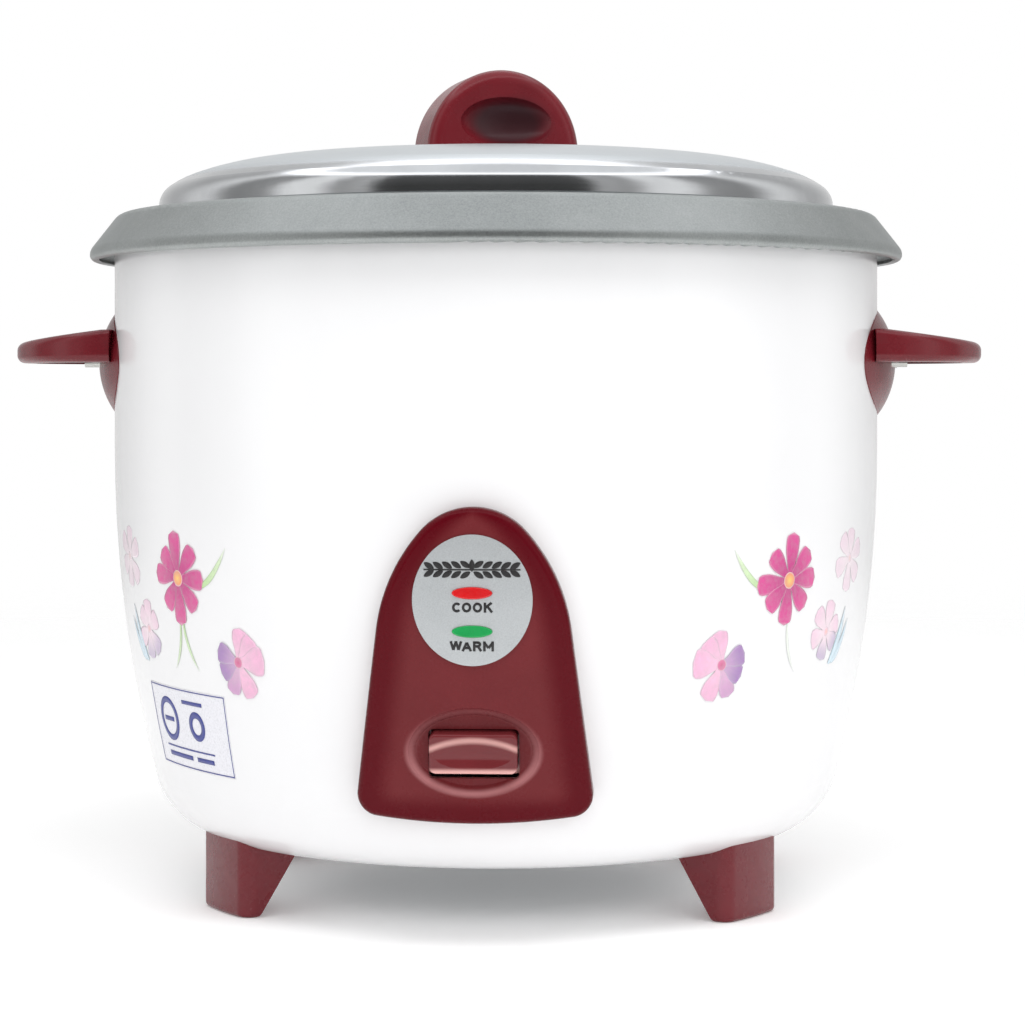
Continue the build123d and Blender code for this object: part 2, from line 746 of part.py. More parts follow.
# ---------------------------------------------------------------- microswitch and its plunger
switch_bottom_z = 47.4
switch_top_z = 60.0
switch_half_x = 5.3
plunger_r = 1.5
plunger_top_z = 51.0
with BuildPart() as microswitch:
    with BuildSketch(Plane.YZ):
        with Locations(((switch_front_y + switch_rear_y) / 2, (switch_bottom_z + switch_top_z) / 2)):
            RectangleRounded(switch_rear_y - switch_front_y, switch_top_z - switch_bottom_z, 1)
    extrude(amount=switch_half_x, both=True)
    with BuildSketch(Plane.XY.offset(switch_bottom_z)):
        with Locations((0, plunger_y)):
            Circle(plunger_r + fit_gap)
    extrude(amount=6.5, mode=Mode.SUBTRACT)
    # two tabs at the rear, for the leads
    with BuildSketch(Plane.XZ.offset(-switch_rear_y)):
        with Locations((-2.8, 54), (2.8, 54)):
            Rectangle(0.8, 4)
    extrude(amount=-5)
write(microswitch, "microswitch")

with BuildPart() as switch_plunger:
    with BuildSketch(Plane.XY.offset(pivot_z + lever_t / 2 + 0.35)):
        with Locations((0, plunger_y)):
            Circle(plunger_r)
    extrude(amount=plunger_top_z - pivot_z - lever_t / 2 - 0.35)
    fillet(switch_plunger.edges().sort_by(Axis.Z)[0], 0.5)
write(switch_plunger, "switch_plunger")

with BuildPart() as switch_screws:
    for y, z in switch_screw_spots:
        seat = Plane(origin=(bracket_inner_x + bracket_t, y, z), x_dir=(0, 1, 0), z_dir=(1, 0, 0))
        add(screw(seat, bracket_t + 0.05, 1.0, 2.0))
write(switch_screws, "switch_screws")

# ---------------------------------------------------------------- heating plate and element
ring_bottom_z = 68.0
ring_half_width = 7.0
plate_bottom_z = plate_top_z - plate_t
with BuildPart() as heating_plate:
    with BuildSketch(Plane.XZ):
        with Locations(((plate_bore_r + plate_r) / 2, plate_top_z - plate_t / 2)):
            Rectangle(plate_r - plate_bore_r, plate_t)
        with Locations((element_ring_r, (ring_bottom_z + plate_bottom_z) / 2)):
            Rectangle(2 * ring_half_width, plate_bottom_z - ring_bottom_z)
        # groove for the heating tube, open downwards
        with Locations((element_ring_r, element_z)):
            Circle(element_tube_r + fit_gap, mode=Mode.SUBTRACT)
        with Locations((element_ring_r, element_z - 3)):
            Rectangle(2 * (element_tube_r + fit_gap), 6, mode=Mode.SUBTRACT)
    revolve(axis=Axis.Z)
    chamfer(heating_plate.edges().group_by(Axis.Z)[-1], 0.8)
    with BuildSketch(Plane.XY.offset(plate_bottom_z)):
        with PolarLocations(standoff_r, 3, start_angle=30):
            Circle(screw_r + fit_gap)
        with PolarLocations(plate_bore_r + 4.5, 2):
            Circle(1.0 + fit_gap)
    extrude(amount=6, mode=Mode.SUBTRACT)
write(heating_plate, "heating_plate")

terminal_r = 1.6
with BuildPart() as heating_element:
    with BuildSketch(radial_plane(90 + element_gap / 2)):
        with Locations((element_ring_r, element_z)):
            Circle(element_tube_r)
    revolve(axis=Axis.Z, revolution_arc=360 - element_gap)
    with BuildSketch(Plane.XY.offset(terminal_bottom_z)):
        with Locations(*[polar((0, 0), element_ring_r, a) for a in (90 + element_gap / 2 + 3, 90 - element_gap / 2 - 3)]):
            Circle(terminal_r)
    extrude(amount=element_z - terminal_bottom_z)
write(heating_element, "heating_element")

standoff_outer_r = 4.0
standoff_bottom_z = liner_floor_z + liner_t
with BuildPart() as plate_standoffs:
    with BuildSketch(Plane.XY.offset(standoff_bottom_z)):
        with PolarLocations(standoff_r, 3, start_angle=30):
            Circle(standoff_outer_r)
            Circle(screw_r + 0.2, mode=Mode.SUBTRACT)
    extrude(amount=plate_bottom_z - standoff_bottom_z)
write(plate_standoffs, "plate_standoffs")

with BuildPart() as plate_screws:
    for azimuth in (30, 150, 270):
        spot = polar((0, 0), standoff_r, azimuth)
        seat = Plane(origin=(*spot, liner_floor_z), x_dir=(1, 0, 0), z_dir=(0, 0, -1))
        add(screw(seat, plate_bottom_z - liner_floor_z + 5))
write(plate_screws, "plate_screws")

# ---------------------------------------------------------------- magnetic thermostat
case_t = 0.8
case_top_z = 76.0
case_flange_r = 28.0
with BuildPart() as thermostat_case:
    with BuildSketch(Plane.XZ):
        Polygon(
            (rod_r + 1.0, case_floor_z),
            (case_r, case_floor_z),
            (case_r, plate_bottom_z - case_t),
            (case_flange_r, plate_bottom_z - case_t),
            (case_flange_r, plate_bottom_z),
            (case_r, plate_bottom_z),
            (case_r, case_top_z),
            (case_r - case_t, case_top_z),
            (case_r - case_t, case_floor_z + case_t),
            (rod_r + 1.0, case_floor_z + case_t),
            align=None,
        )
    revolve(axis=Axis.Z)
    with BuildSketch(Plane.XY.offset(plate_bottom_z - 2)):
        with PolarLocations(plate_bore_r + 4.5, 2):
            Circle(1.2)
    extrude(amount=3, mode=Mode.SUBTRACT)
write(thermostat_case, "thermostat_case")

with BuildPart() as case_screws:
    for azimuth in (0, 180):
        spot = polar((0, 0), plate_bore_r + 4.5, azimuth)
        seat = Plane(origin=(*spot, plate_bottom_z - case_t), x_dir=(1, 0, 0), z_dir=(0, 0, -1))
        add(screw(seat, case_t + 5, 1.0, 2.0))
write(case_screws, "case_screws")

cap_t = 1.0
with BuildPart() as thermostat_cap:
    with BuildSketch(Plane.XY.offset(cap_bottom_z)):
        Circle(cap_r)
    extrude(amount=plate_top_z - cap_bottom_z)
    fillet(thermostat_cap.edges().sort_by(Axis.Z)[-1], 1.5)
    with BuildSketch(Plane.XY.offset(cap_bottom_z)):
        Circle(cap_r - cap_t)
    extrude(amount=plate_top_z - cap_t - cap_bottom_z, mode=Mode.SUBTRACT)
write(thermostat_cap, "thermostat_cap")

ferrite_t = 3.0
with BuildPart() as ferrite_disc:
    with BuildSketch(Plane.XY.offset(plate_top_z - cap_t - ferrite_t)):
        Circle(ferrite_r)
    extrude(amount=ferrite_t)
write(ferrite_disc, "ferrite_disc")

spring_wire_r = 0.6
spring_coil_r = 14.9
spring_bottom_z = case_floor_z + case_t + spring_wire_r
spring_top_z = plate_top_z - cap_t - spring_wire_r - 0.1
with BuildPart() as thermostat_spring:
    with BuildLine() as coil:
        Helix(
            pitch=(spring_top_z - spring_bottom_z) / 4.5,
            height=spring_top_z - spring_bottom_z,
            radius=spring_coil_r,
            center=(0, 0, spring_bottom_z),
        )
    with BuildSketch(Plane(origin=coil.line @ 0, z_dir=coil.line % 0)):
        Circle(spring_wire_r)
    sweep(path=coil.line, is_frenet=True)
write(thermostat_spring, "thermostat_spring")

magnet_r = 11.0
magnet_t = 4.0
rod_foot_z = pivot_z + lever_t / 2 + 0.8
with BuildPart() as lower_magnet:
    with BuildSketch(Plane.XY.offset(magnet_top_z - magnet_t)):
        Circle(magnet_r)
        Circle(rod_r, mode=Mode.SUBTRACT)
    extrude(amount=magnet_t)
write(lower_magnet, "lower_magnet")

rod_bottom_z = 37.0
clip_z = 39.0
with BuildPart() as magnet_rod:
    with BuildSketch(Plane.XY.offset(rod_bottom_z)):
        Circle(rod_r)
    extrude(amount=magnet_top_z - rod_bottom_z)
    # shoulder that the lever's fork lifts
    with BuildSketch(Plane.XY.offset(rod_foot_z)):
        Circle(5.0)
    extrude(amount=2.0)
write(magnet_rod, "magnet_rod")

with BuildPart() as rod_clip:
    with BuildSketch(Plane.XY.offset(clip_z)):
        Circle(4.5)
        Circle(rod_r, mode=Mode.SUBTRACT)
        with Locations((4, 0)):
            Rectangle(8, 2.4, mode=Mode.SUBTRACT)
    extrude(amount=1.0)
write(rod_clip, "rod_clip")

# ---------------------------------------------------------------- power inlet
inlet_flange_t = 4.0
blade_width = 2.0
blade_t = 4.0
blade_spots = [(-7.0, -1.5), (7.0, -1.5), (0.0, 2.5)]
inlet_inner_y = 94.0
socket_floor_y = 97.0
inlet_drum = drum_solid(inlet_flange_t, rim_z - rim_bend_r)
with BuildPart() as inlet_flange:
    with BuildSketch(inlet_plane.offset(inlet_inner_y)):
        RectangleRounded(2 * inlet_half_width + 14, 2 * inlet_half_height + 10, 6)
    extrude(amount=40)
    add(inlet_drum, mode=Mode.INTERSECT)
    fillet(inlet_flange.faces().sort_by(Axis.Y)[-1].edges(), 1.5)
    add(drum_envelope, mode=Mode.SUBTRACT)
with BuildPart() as power_inlet:
    with BuildSketch(inlet_plane.offset(inlet_inner_y)):
        RectangleRounded(2 * inlet_half_width, 2 * inlet_half_height, 2.8)
    extrude(amount=40)
    add(inlet_drum, mode=Mode.INTERSECT)
    add(inlet_flange.part)
    with BuildSketch(inlet_plane.offset(socket_floor_y)):
        RectangleRounded(2 * inlet_half_width - 4, 2 * inlet_half_height - 4, 2)
    extrude(amount=40, mode=Mode.SUBTRACT)
    # slots in the socket's floor for the three blades
    with BuildSketch(inlet_plane.offset(inlet_inner_y - 1)):
        with Locations(*blade_spots):
            Rectangle(blade_width + 2 * fit_gap, blade_t + 2 * fit_gap)
    extrude(amount=socket_floor_y - inlet_inner_y + 2, mode=Mode.SUBTRACT)
write(power_inlet, "power_inlet")

blade_length = 23.0
blade_inner_y = 88.0
with BuildPart() as inlet_blades:
    with BuildSketch(inlet_plane.offset(blade_inner_y)):
        with Locations(*blade_spots):
            Rectangle(blade_width, blade_t)
    extrude(amount=blade_length)
write(inlet_blades, "inlet_blades")

# ---------------------------------------------------------------- wiring
switch_tab = (2.8, switch_rear_y + 5.1, 54.0)
element_end = polar((0, 0), element_ring_r, 90 - element_gap / 2 - 3)
tail_y = blade_inner_y - 0.1
live_tail = (-blade_spots[0][0], tail_y, inlet_z + blade_spots[0][1])
neutral_tail = (-blade_spots[1][0], tail_y, inlet_z + blade_spots[1][1])
earth_tail = (-blade_spots[2][0], tail_y, inlet_z + blade_spots[2][1])
lead_bend = 5.0

live_route = [live_tail, (live_tail[0], 80, live_tail[2]), (14, 72, 46), (40, 60, 40), (52, 20, 36), (44, -25, 38), (20, -44, 48), (2.8, -50, 53.5), switch_tab]
heater_route = [
    (-switch_tab[0], *switch_tab[1:]),
    (-2.8, -50, 53.5),
    (-20, -42, 48),
    (-46, -20, 40),
    (-50, 20, 40),
    (-36, 48, 42),
    (-element_end[0], element_end[1], 44),
    (-element_end[0], element_end[1], terminal_bottom_z - 0.1),
]
fuse_run = [(6, 70, 40), (22, 60, 40)]
neutral_route = [
    neutral_tail,
    (neutral_tail[0], 79, neutral_tail[2]),
    *fuse_run,
    (element_end[0], element_end[1], 45),
    (element_end[0], element_end[1], terminal_bottom_z - 0.1),
]
tag_t = 0.8
earth_route = [earth_tail, (0, 82, earth_tail[2]), (0, 82, 36), (0, 75, 29), (0, 75, floor_top_z + tag_t + 0.1)]

with BuildPart() as live_lead:
    add(lead(live_route, lead_r, lead_bend))
write(live_lead, "live_lead")

with BuildPart() as heater_lead:
    add(lead(heater_route, lead_r, lead_bend))
write(heater_lead, "heater_lead")

with BuildPart() as neutral_lead:
    add(lead(neutral_route, lead_r, lead_bend - 1))
write(neutral_lead, "neutral_lead")

with BuildPart() as earth_lead:
    add(lead(earth_route, lead_r, lead_bend - 1))
write(earth_lead, "earth_lead")

# thermal fuse: a sleeve in the middle of the neutral lead's straight run
fuse_length = 9.0
fuse_start = Vector(*fuse_run[0])
fuse_line = Vector(*fuse_run[1]) - fuse_start
fuse_origin = fuse_start + fuse_line.normalized() * ((fuse_line.length - fuse_length) / 2)
with BuildPart() as thermal_fuse:
    with BuildSketch(Plane(origin=fuse_origin, z_dir=fuse_line)):
        Circle(lead_r + 1.6)
        Circle(lead_r + fit_gap, mode=Mode.SUBTRACT)
    extrude(amount=fuse_length)
write(thermal_fuse, "thermal_fuse")

tag_y = 69.0
with BuildPart() as earth_tag:
    with BuildSketch(Plane.XY.offset(floor_top_z)):
        with Locations((0, tag_y)):
            Circle(4.5)
        with Locations((0, tag_y + 5)):
            Rectangle(4, 8)
        with Locations((0, tag_y)):
            Circle(screw_r + fit_gap, mode=Mode.SUBTRACT)
    extrude(amount=tag_t)
write(earth_tag, "earth_tag")

lamp_lead_r = 0.8
lamp_lead_bend = 2.4
splice_y = -70.0
with BuildPart() as lamp_leads:
    for side, z in ((1, cook_lamp_z), (-1, warm_lamp_z)):
        route = [
            (side * (lamp_length / 2 + 0.1), lamp_y, z),
            (side * 9.8, lamp_y, z),
            (side * 9.8, -117.4, z - 1),
            (side * 12.5, -117.2, 85),
            (side * 16.8, -115.8, 76),
            (side * 20, -113.4, 66.5),
            (side * 20, -106, 54),
            (side * 16, -88, 50),
            (side * 16, splice_y - 0.1, 50),
        ]
        add(lead(route, lamp_lead_r, lamp_lead_bend))
write(lamp_leads, "lamp_leads")

with BuildPart() as lead_splices:
    for side in (1, -1):
        with BuildSketch(Plane(origin=(side * 16, splice_y, 50), z_dir=(0, 1, 0))):
            Circle(3.0)
        extrude(amount=12, taper=3)
    fillet(lead_splices.faces().group_by(Axis.Y)[-1].edges(), 1.2)
write(lead_splices, "lead_splices")

# ---------------------------------------------------------------- inner pot
seat_flare_r = 2.2
skirt_shoulder_r = 4.0
skirt_edge_r = 3.5
skirt_drop = 0.3
lip_roll_r = 1.8
with BuildPart() as inner_pot:
    with BuildSketch(Plane.XZ):
        with BuildLine():
            floor = Line((0, pot_floor_z), (pot_r - pot_corner_r, pot_floor_z))
            corner = JernArc(floor @ 1, (1, 0), pot_corner_r, 90)
            wall = Line(corner @ 1, (pot_r, seat_z - seat_flare_r))
            flare = JernArc(wall @ 1, (0, 1), seat_flare_r, -90)
            seat = Line(flare @ 1, (skirt_top_r, seat_z))
            # skirt: a rounded shoulder, a straight slope, then the rolled lip
            skirt_top = JernArc(seat @ 1, (1, 0), skirt_shoulder_r, -skirt_slope)
            slope = Line(
                skirt_top @ 1, skirt_top @ 1 + (skirt_run, -skirt_run * tan(radians(skirt_slope)))
            )
            skirt_edge = JernArc(slope @ 1, slope % 1, skirt_edge_r, skirt_slope - 90)
            drop = Line(skirt_edge @ 1, skirt_edge @ 1 + (0, -skirt_drop))
            JernArc(drop @ 1, (0, -1), lip_roll_r, -130)
            offset(amount=pot_t, side=Side.RIGHT)
        make_face()
    revolve(axis=Axis.Z)
write(inner_pot, "inner_pot")

# ---------------------------------------------------------------- lid, knob, washer and screw
dome_centre_z = lid_apex_z - lid_dome_r
dome_edge_angle = degrees(asin(lid_dome_edge_r / lid_dome_r))
lid_shoulders = [(90.0, 20.0), (30.0, 35.0), (7.3, 90.0)]
hem_r = 1.0
hem_top_z = seat_z + 1.3
vent_r = 2.0
vent_place_r = 62.0
with BuildPart() as lid:
    with BuildSketch(Plane.XZ):
        with BuildLine():
            edge = ThreePointArc(
                (0, lid_apex_z),
                polar((0, dome_centre_z), lid_dome_r, 90 - dome_edge_angle / 2),
                polar((0, dome_centre_z), lid_dome_r, 90 - dome_edge_angle),
            )
            # arcs that steepen from the dome to the upright band
            slope_angle = dome_edge_angle
            for shoulder_r, end_angle in lid_shoulders:
                edge = JernArc(edge @ 1, edge % 1, shoulder_r, slope_angle - end_angle)
                slope_angle = end_angle
            band = Line(edge @ 1, ((edge @ 1).X, hem_top_z))
            JernArc(band @ 1, (0, -1), hem_r, -120)
            offset(amount=lid_t, side=Side.RIGHT)
        make_face()
    revolve(axis=Axis.Z)
    with BuildSketch(Plane.XY.offset(lid_apex_z - 10)):
        Circle(screw_r + 0.4)
        with Locations((0, vent_place_r)):
            Circle(vent_r)
    extrude(amount=12, mode=Mode.SUBTRACT)
write(lid, "lid")

knob_x = Vector(cos(radians(knob_turn)), sin(radians(knob_turn)), 0)
knob_normal = Vector(sin(radians(knob_turn)), -cos(radians(knob_turn)), 0)
knob_plane = Plane(origin=(0, 0, knob_centre_z), x_dir=knob_x, z_dir=knob_normal)
knob_base_drop = 4.0
scoop_half_width = 16.5
scoop_half_height = 8.9
scoop_centre_up = 9.5
scoop_stand_off = 3.4
with BuildPart() as lid_knob:
    with BuildSketch(knob_plane):
        with BuildLine():
            arch = EllipticalCenterArc((0, 0), knob_half_width, knob_rise, start_angle=0, arc_size=180)
            Polyline(
                arch @ 1,
                (-knob_half_width, -knob_base_drop),
                (knob_half_width, -knob_base_drop),
                arch @ 0,
            )
        make_face()
    extrude(amount=knob_thick / 2, both=True)
    fillet(lid_knob.edges().filter_by(lambda e: e.length > 2 * knob_half_width + 1), 4.5)
    # finger scoop in each face
    for face_side in (1, -1):
        reach = face_side * (knob_thick / 2 + scoop_stand_off)
        scoop_centre = knob_plane.origin + knob_normal * reach + Vector(0, 0, scoop_centre_up)
        with BuildSketch(Plane(origin=scoop_centre, x_dir=knob_x, z_dir=knob_normal)):
            with BuildLine():
                egg = EllipticalCenterArc(
                    (0, 0), scoop_half_width, scoop_half_height, start_angle=0, arc_size=180
                )
                Line(egg @ 1, egg @ 0)
            make_face()
        revolve(axis=Axis(scoop_centre, knob_x), mode=Mode.SUBTRACT)
    # the underside follows the lid's dome
    with Locations((0, 0, dome_centre_z)):
        Sphere(lid_dome_r, mode=Mode.SUBTRACT)
    with BuildSketch(Plane.XY.offset(lid_apex_z - 2)):
        Circle(screw_r + fit_gap)
    extrude(amount=14, mode=Mode.SUBTRACT)
write(lid_knob, "lid_knob")

washer_t = 1.0
washer_r = 8.0
washer_top_z = lid_apex_z - lid_t - washer_r**2 / (2 * lid_dome_r)
with BuildPart() as knob_washer:
    with BuildSketch(Plane.XY.offset(washer_top_z - washer_t)):
        Circle(washer_r)
        Circle(screw_r + 0.3, mode=Mode.SUBTRACT)
    extrude(amount=washer_t)
write(knob_washer, "knob_washer")

with BuildPart() as knob_screw:
    seat = Plane(origin=(0, 0, washer_top_z - washer_t), x_dir=(1, 0, 0), z_dir=(0, 0, -1))
    add(screw(seat, 12))
write(knob_screw, "knob_screw")
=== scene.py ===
"""Looks of a drum-type rice cooker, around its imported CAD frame. Metres throughout."""

import math
import random

import bmesh
import bpy
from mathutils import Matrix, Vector
from mathutils.bvhtree import BVHTree


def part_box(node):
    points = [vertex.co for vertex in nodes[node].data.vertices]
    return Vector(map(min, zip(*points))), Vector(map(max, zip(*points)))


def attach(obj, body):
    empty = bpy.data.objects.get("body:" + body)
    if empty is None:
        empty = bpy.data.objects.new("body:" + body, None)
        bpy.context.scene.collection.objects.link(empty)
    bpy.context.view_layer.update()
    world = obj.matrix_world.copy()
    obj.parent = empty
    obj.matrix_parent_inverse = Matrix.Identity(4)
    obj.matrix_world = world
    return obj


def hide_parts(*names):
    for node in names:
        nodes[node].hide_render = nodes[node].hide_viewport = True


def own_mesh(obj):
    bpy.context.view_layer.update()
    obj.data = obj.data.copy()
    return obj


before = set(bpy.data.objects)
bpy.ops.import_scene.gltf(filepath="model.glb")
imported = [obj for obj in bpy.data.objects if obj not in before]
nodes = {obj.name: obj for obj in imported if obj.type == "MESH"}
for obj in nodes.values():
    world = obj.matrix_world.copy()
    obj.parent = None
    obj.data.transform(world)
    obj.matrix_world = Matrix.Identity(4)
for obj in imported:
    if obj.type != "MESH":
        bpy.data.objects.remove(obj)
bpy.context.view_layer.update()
MM = 0.001
# places on the CAD that finishes follow
KEY_Z = 59.0 * MM
KEY_HEIGHT = 11.8 * MM
KNOB_TURN = 18.0
SCOOP_Z = 250.5 * MM
# the part of a noise's range that carries its contrast
NOISE_LOW, NOISE_HIGH = 0.3, 0.7

# ---------------------------------------------------------------- colours (linear RGB)


def linear(r, g, b):
    """sRGB 0-255 to linear RGB."""
    out = []
    for value in (r, g, b):
        c = value / 255
        out.append(c / 12.92 if c <= 0.04045 else ((c + 0.055) / 1.055) ** 2.4)
    return tuple(out)


WHITE = linear(241, 241, 242)
BURGUNDY = linear(106, 24, 33)
# BURGUNDY_DEEP is the panel's border; BURGUNDY_MID is the panel's middle with painted reflection, and
# also the key's base
BURGUNDY_DEEP = linear(88, 2, 16)
BURGUNDY_MID = linear(108, 38, 42)

# ---------------------------------------------------------------- node helpers


class Tree:
    """A small writer of shader nodes for one material."""

    def __init__(self, name):
        self.material = bpy.data.materials.new(name)
        self.material.use_nodes = True
        self.tree = self.material.node_tree
        self.tree.nodes.clear()
        self.shader = self.add("ShaderNodeBsdfPrincipled")
        output = self.add("ShaderNodeOutputMaterial")
        self.link(self.shader.outputs["BSDF"], output.inputs["Surface"])
        self.coords = self.add("ShaderNodeTexCoord").outputs["Object"]

    def add(self, kind, **settings):
        node = self.tree.nodes.new(kind)
        for key, value in settings.items():
            setattr(node, key, value)
        return node

    def link(self, source, target):
        self.tree.links.new(source, target)

    def put(self, target, value):
        """A socket is linked, and anything else is set as the socket's own value."""
        if isinstance(value, bpy.types.NodeSocket):
            self.link(value, target)
        else:
            target.default_value = value

    def math(self, operation, *values, clamp=False):
        node = self.add("ShaderNodeMath", operation=operation, use_clamp=clamp)
        for socket, value in zip(node.inputs, values):
            self.put(socket, value)
        return node.outputs[0]

    def ramp(self, value, low, high, to_low=0.0, to_high=1.0, smooth=False):
        node = self.add("ShaderNodeMapRange", clamp=True)
        if smooth:
            node.interpolation_type = "SMOOTHSTEP"
        for key, item in zip(range(5), (value, low, high, to_low, to_high)):
            self.put(node.inputs[key], item)
        return node.outputs[0]

    def spread(self, noise, to_low=0.0, to_high=1.0):
        """A noise spread over a range."""
        return self.ramp(noise, NOISE_LOW, NOISE_HIGH, to_low, to_high)

    def worn(self, wear, low, high, fine):
        """Gloss that varies with wear and a little with the grain."""
        return self.math("ADD", self.ramp(wear, 0.35, 0.7, low, high), self.spread(fine, -0.02, 0.02))

    def hypot(self, a, b):
        squares = self.math("MULTIPLY", a, a), self.math("MULTIPLY", b, b)
        return self.math("SQRT", self.math("ADD", *squares))

    def mix(self, factor, a, b):
        node = self.add("ShaderNodeMix", data_type="RGBA")
        self.put(node.inputs[0], factor)
        for socket, value in ((node.inputs[6], a), (node.inputs[7], b)):
            self.put(socket, value if isinstance(value, bpy.types.NodeSocket) else (*value, 1.0))
        return node.outputs[2]

    def noise(self, scale, detail=3.0, rough=0.5, vector=None, distortion=0.0):
        node = self.add("ShaderNodeTexNoise")
        self.link(self.coords if vector is None else vector, node.inputs["Vector"])
        node.inputs["Scale"].default_value = scale
        node.inputs["Detail"].default_value = detail
        node.inputs["Roughness"].default_value = rough
        node.inputs["Distortion"].default_value = distortion
        return node.outputs["Fac"]

    def axes(self):
        node = self.add("ShaderNodeSeparateXYZ")
        self.link(self.coords, node.inputs[0])
        return node.outputs

    def vector(self, x, y, z):
        node = self.add("ShaderNodeCombineXYZ")
        for socket, value in zip(node.inputs, (x, y, z)):
            self.put(socket, value)
        return node.outputs[0]

    def radius(self):
        x, y, _ = self.axes()
        return self.hypot(x, y)

    def turned(self, lines, along=6.0):
        """Coordinates stretched round the vertical axis, for brushed or lathe-turned metal."""
        x, y, z = self.axes()
        angle = self.math("ARCTAN2", y, x)
        return self.vector(
            self.math("MULTIPLY", self.radius(), lines),
            self.math("MULTIPLY", z, lines),
            self.math("MULTIPLY", angle, along),
        )

    def stretched(self, x, y, z):
        """Coordinates scaled along each axis, for a grain that runs one way."""
        node = self.add("ShaderNodeVectorMath", operation="MULTIPLY")
        self.link(self.coords, node.inputs[0])
        node.inputs[1].default_value = (x, y, z)
        return node.outputs[0]

    def bump(self, height, strength, distance, before=None):
        node = self.add("ShaderNodeBump")
        node.inputs["Strength"].default_value = strength
        node.inputs["Distance"].default_value = distance
        self.link(height, node.inputs["Height"])
        if before is not None:
            self.link(before, node.inputs["Normal"])
        return node.outputs[0]

    def finish(self, colour, rough, normal=None, metal=0.0, **fixed):
        base = colour if isinstance(colour, bpy.types.NodeSocket) else (*colour, 1)
        self.put(self.shader.inputs["Base Color"], base)
        self.put(self.shader.inputs["Roughness"], rough)
        self.shader.inputs["Metallic"].default_value = metal
        if normal is not None:
            self.link(normal, self.shader.inputs["Normal"])
        for key, value in fixed.items():
            self.shader.inputs[key.replace("_", " ")].default_value = value
        return self.material


def shade(value, factor):
    return tuple(min(1.0, c * factor) for c in value)


# ---------------------------------------------------------------- materials of the CAD nodes


def moulded(name, colour, rough=0.3, contrast=0.06, grain=900.0, depth=0.00003, coat=0.12):
    """Moulded plastic: slight flow marks in the colour, a fine sparkle of grain and worn-in gloss."""
    t = Tree(name)
    flow = t.noise(28.0, 2.0, 0.5, distortion=0.6)
    tint = t.mix(t.spread(flow), shade(colour, 1 - contrast), shade(colour, 1 + contrast))
    fine = t.noise(grain, 4.0, 0.6)
    wear = t.noise(160.0, 5.0, 0.65)
    gloss = t.worn(wear, rough - 0.05, rough + 0.07, fine)
    normal = t.bump(fine, 0.15, depth, t.bump(t.noise(120.0, 2.0), 0.08, 0.0002))
    return t.finish(tint, gloss, normal, Coat_Weight=coat, Coat_Roughness=0.12, Specular_IOR_Level=0.35)


def sheet_metal(
    name, colour, rough=0.35, grain=700.0, depth=0.00005, metal=1.0, blotch=45.0, contrast=0.08
):
    """Rolled or drawn sheet: directionless fine grain, faint cloudy tone and handling marks."""
    t = Tree(name)
    cloud = t.noise(blotch, 4.0, 0.6)
    tint = t.mix(t.spread(cloud), shade(colour, 1 - contrast), shade(colour, 1 + contrast))
    fine = t.noise(grain, 5.0, 0.7)
    gloss = t.spread(t.noise(90.0, 6.0, 0.7), rough - 0.06, rough + 0.08)
    return t.finish(tint, gloss, t.bump(fine, 0.35, depth), metal)


def turned_metal(name, colour, rough=0.25, lines=2600.0, depth=0.00003, along=3.0, contrast=0.06):
    """Spun or lathe-turned metal, with rings round the cooker's axis."""
    t = Tree(name)
    rings = t.noise(1.0, 4.0, 0.7, t.turned(lines, along))
    wide = t.noise(1.0, 3.0, 0.5, t.turned(lines / 9, along / 2))
    tint = t.mix(t.spread(wide), shade(colour, 1 - contrast), shade(colour, 1 + contrast))
    gloss = t.spread(rings, rough - 0.05, rough + 0.06)
    return t.finish(tint, gloss, t.bump(rings, 0.3, depth, t.bump(wide, 0.15, depth * 4)), 1.0)


THREADS = 5200.0


def lead_sleeve(name, colour):
    """Woven heat sleeve on a lead: a fine diagonal weave."""
    t = Tree(name)
    x, y, z = t.axes()
    run = t.math("ADD", x, t.math("ADD", y, z))
    back = t.math("SUBTRACT", t.math("ADD", x, y), z)
    threads = [t.math("SINE", t.math("MULTIPLY", way, THREADS)) for way in (run, back)]
    weave = t.math("MULTIPLY", *threads)
    tint = t.mix(t.ramp(weave, -1.0, 1.0), shade(colour, 0.75), shade(colour, 1.1))
    gloss = t.spread(t.noise(300.0), 0.5, 0.65)
    return t.finish(tint, gloss, t.bump(weave, 0.35, 0.00012))


def enamel(name, colour, tinted=False):
    """Gloss enamel on drawn steel: orange peel, faint waves; tinted takes the print's colours."""
    t = Tree(name)
    cloud = t.noise(14.0, 3.0, 0.5)
    tint = t.mix(t.spread(cloud), shade(colour, 0.985), shade(colour, 1.0))
    if tinted:
        print_colour = t.add("ShaderNodeAttribute", attribute_name="print_colour").outputs["Color"]
        cover = t.add("ShaderNodeAttribute", attribute_name="print_cover").outputs["Fac"]
        wash = t.noise(420.0, 4.0, 0.7)
        streak = t.mix(t.spread(wash), (0.86, 0.86, 0.86), (1.08, 1.08, 1.08))
        multiply = t.add("ShaderNodeMix", data_type="RGBA", blend_type="MULTIPLY")
        multiply.inputs[0].default_value = 1.0
        t.link(print_colour, multiply.inputs[6])
        t.link(streak, multiply.inputs[7])
        laid = t.math("MULTIPLY", cover, t.ramp(wash, 0.2, 0.6, 0.85, 1.0), clamp=True)
        tint = t.mix(laid, tint, multiply.outputs[2])
    peel = t.noise(330.0, 2.0, 0.5)
    waves = t.noise(1.0, 2.0, 0.5, t.stretched(10.0, 10.0, 34.0))
    gloss = t.ramp(t.noise(70.0, 5.0, 0.65), 0.35, 0.7, 0.17, 0.24)
    normal = t.bump(peel, 0.10, 0.00012, t.bump(waves, 0.10, 0.0010))
    return t.finish(tint, gloss, normal, Coat_Weight=0.35, Coat_Roughness=0.06, Specular_IOR_Level=0.4)


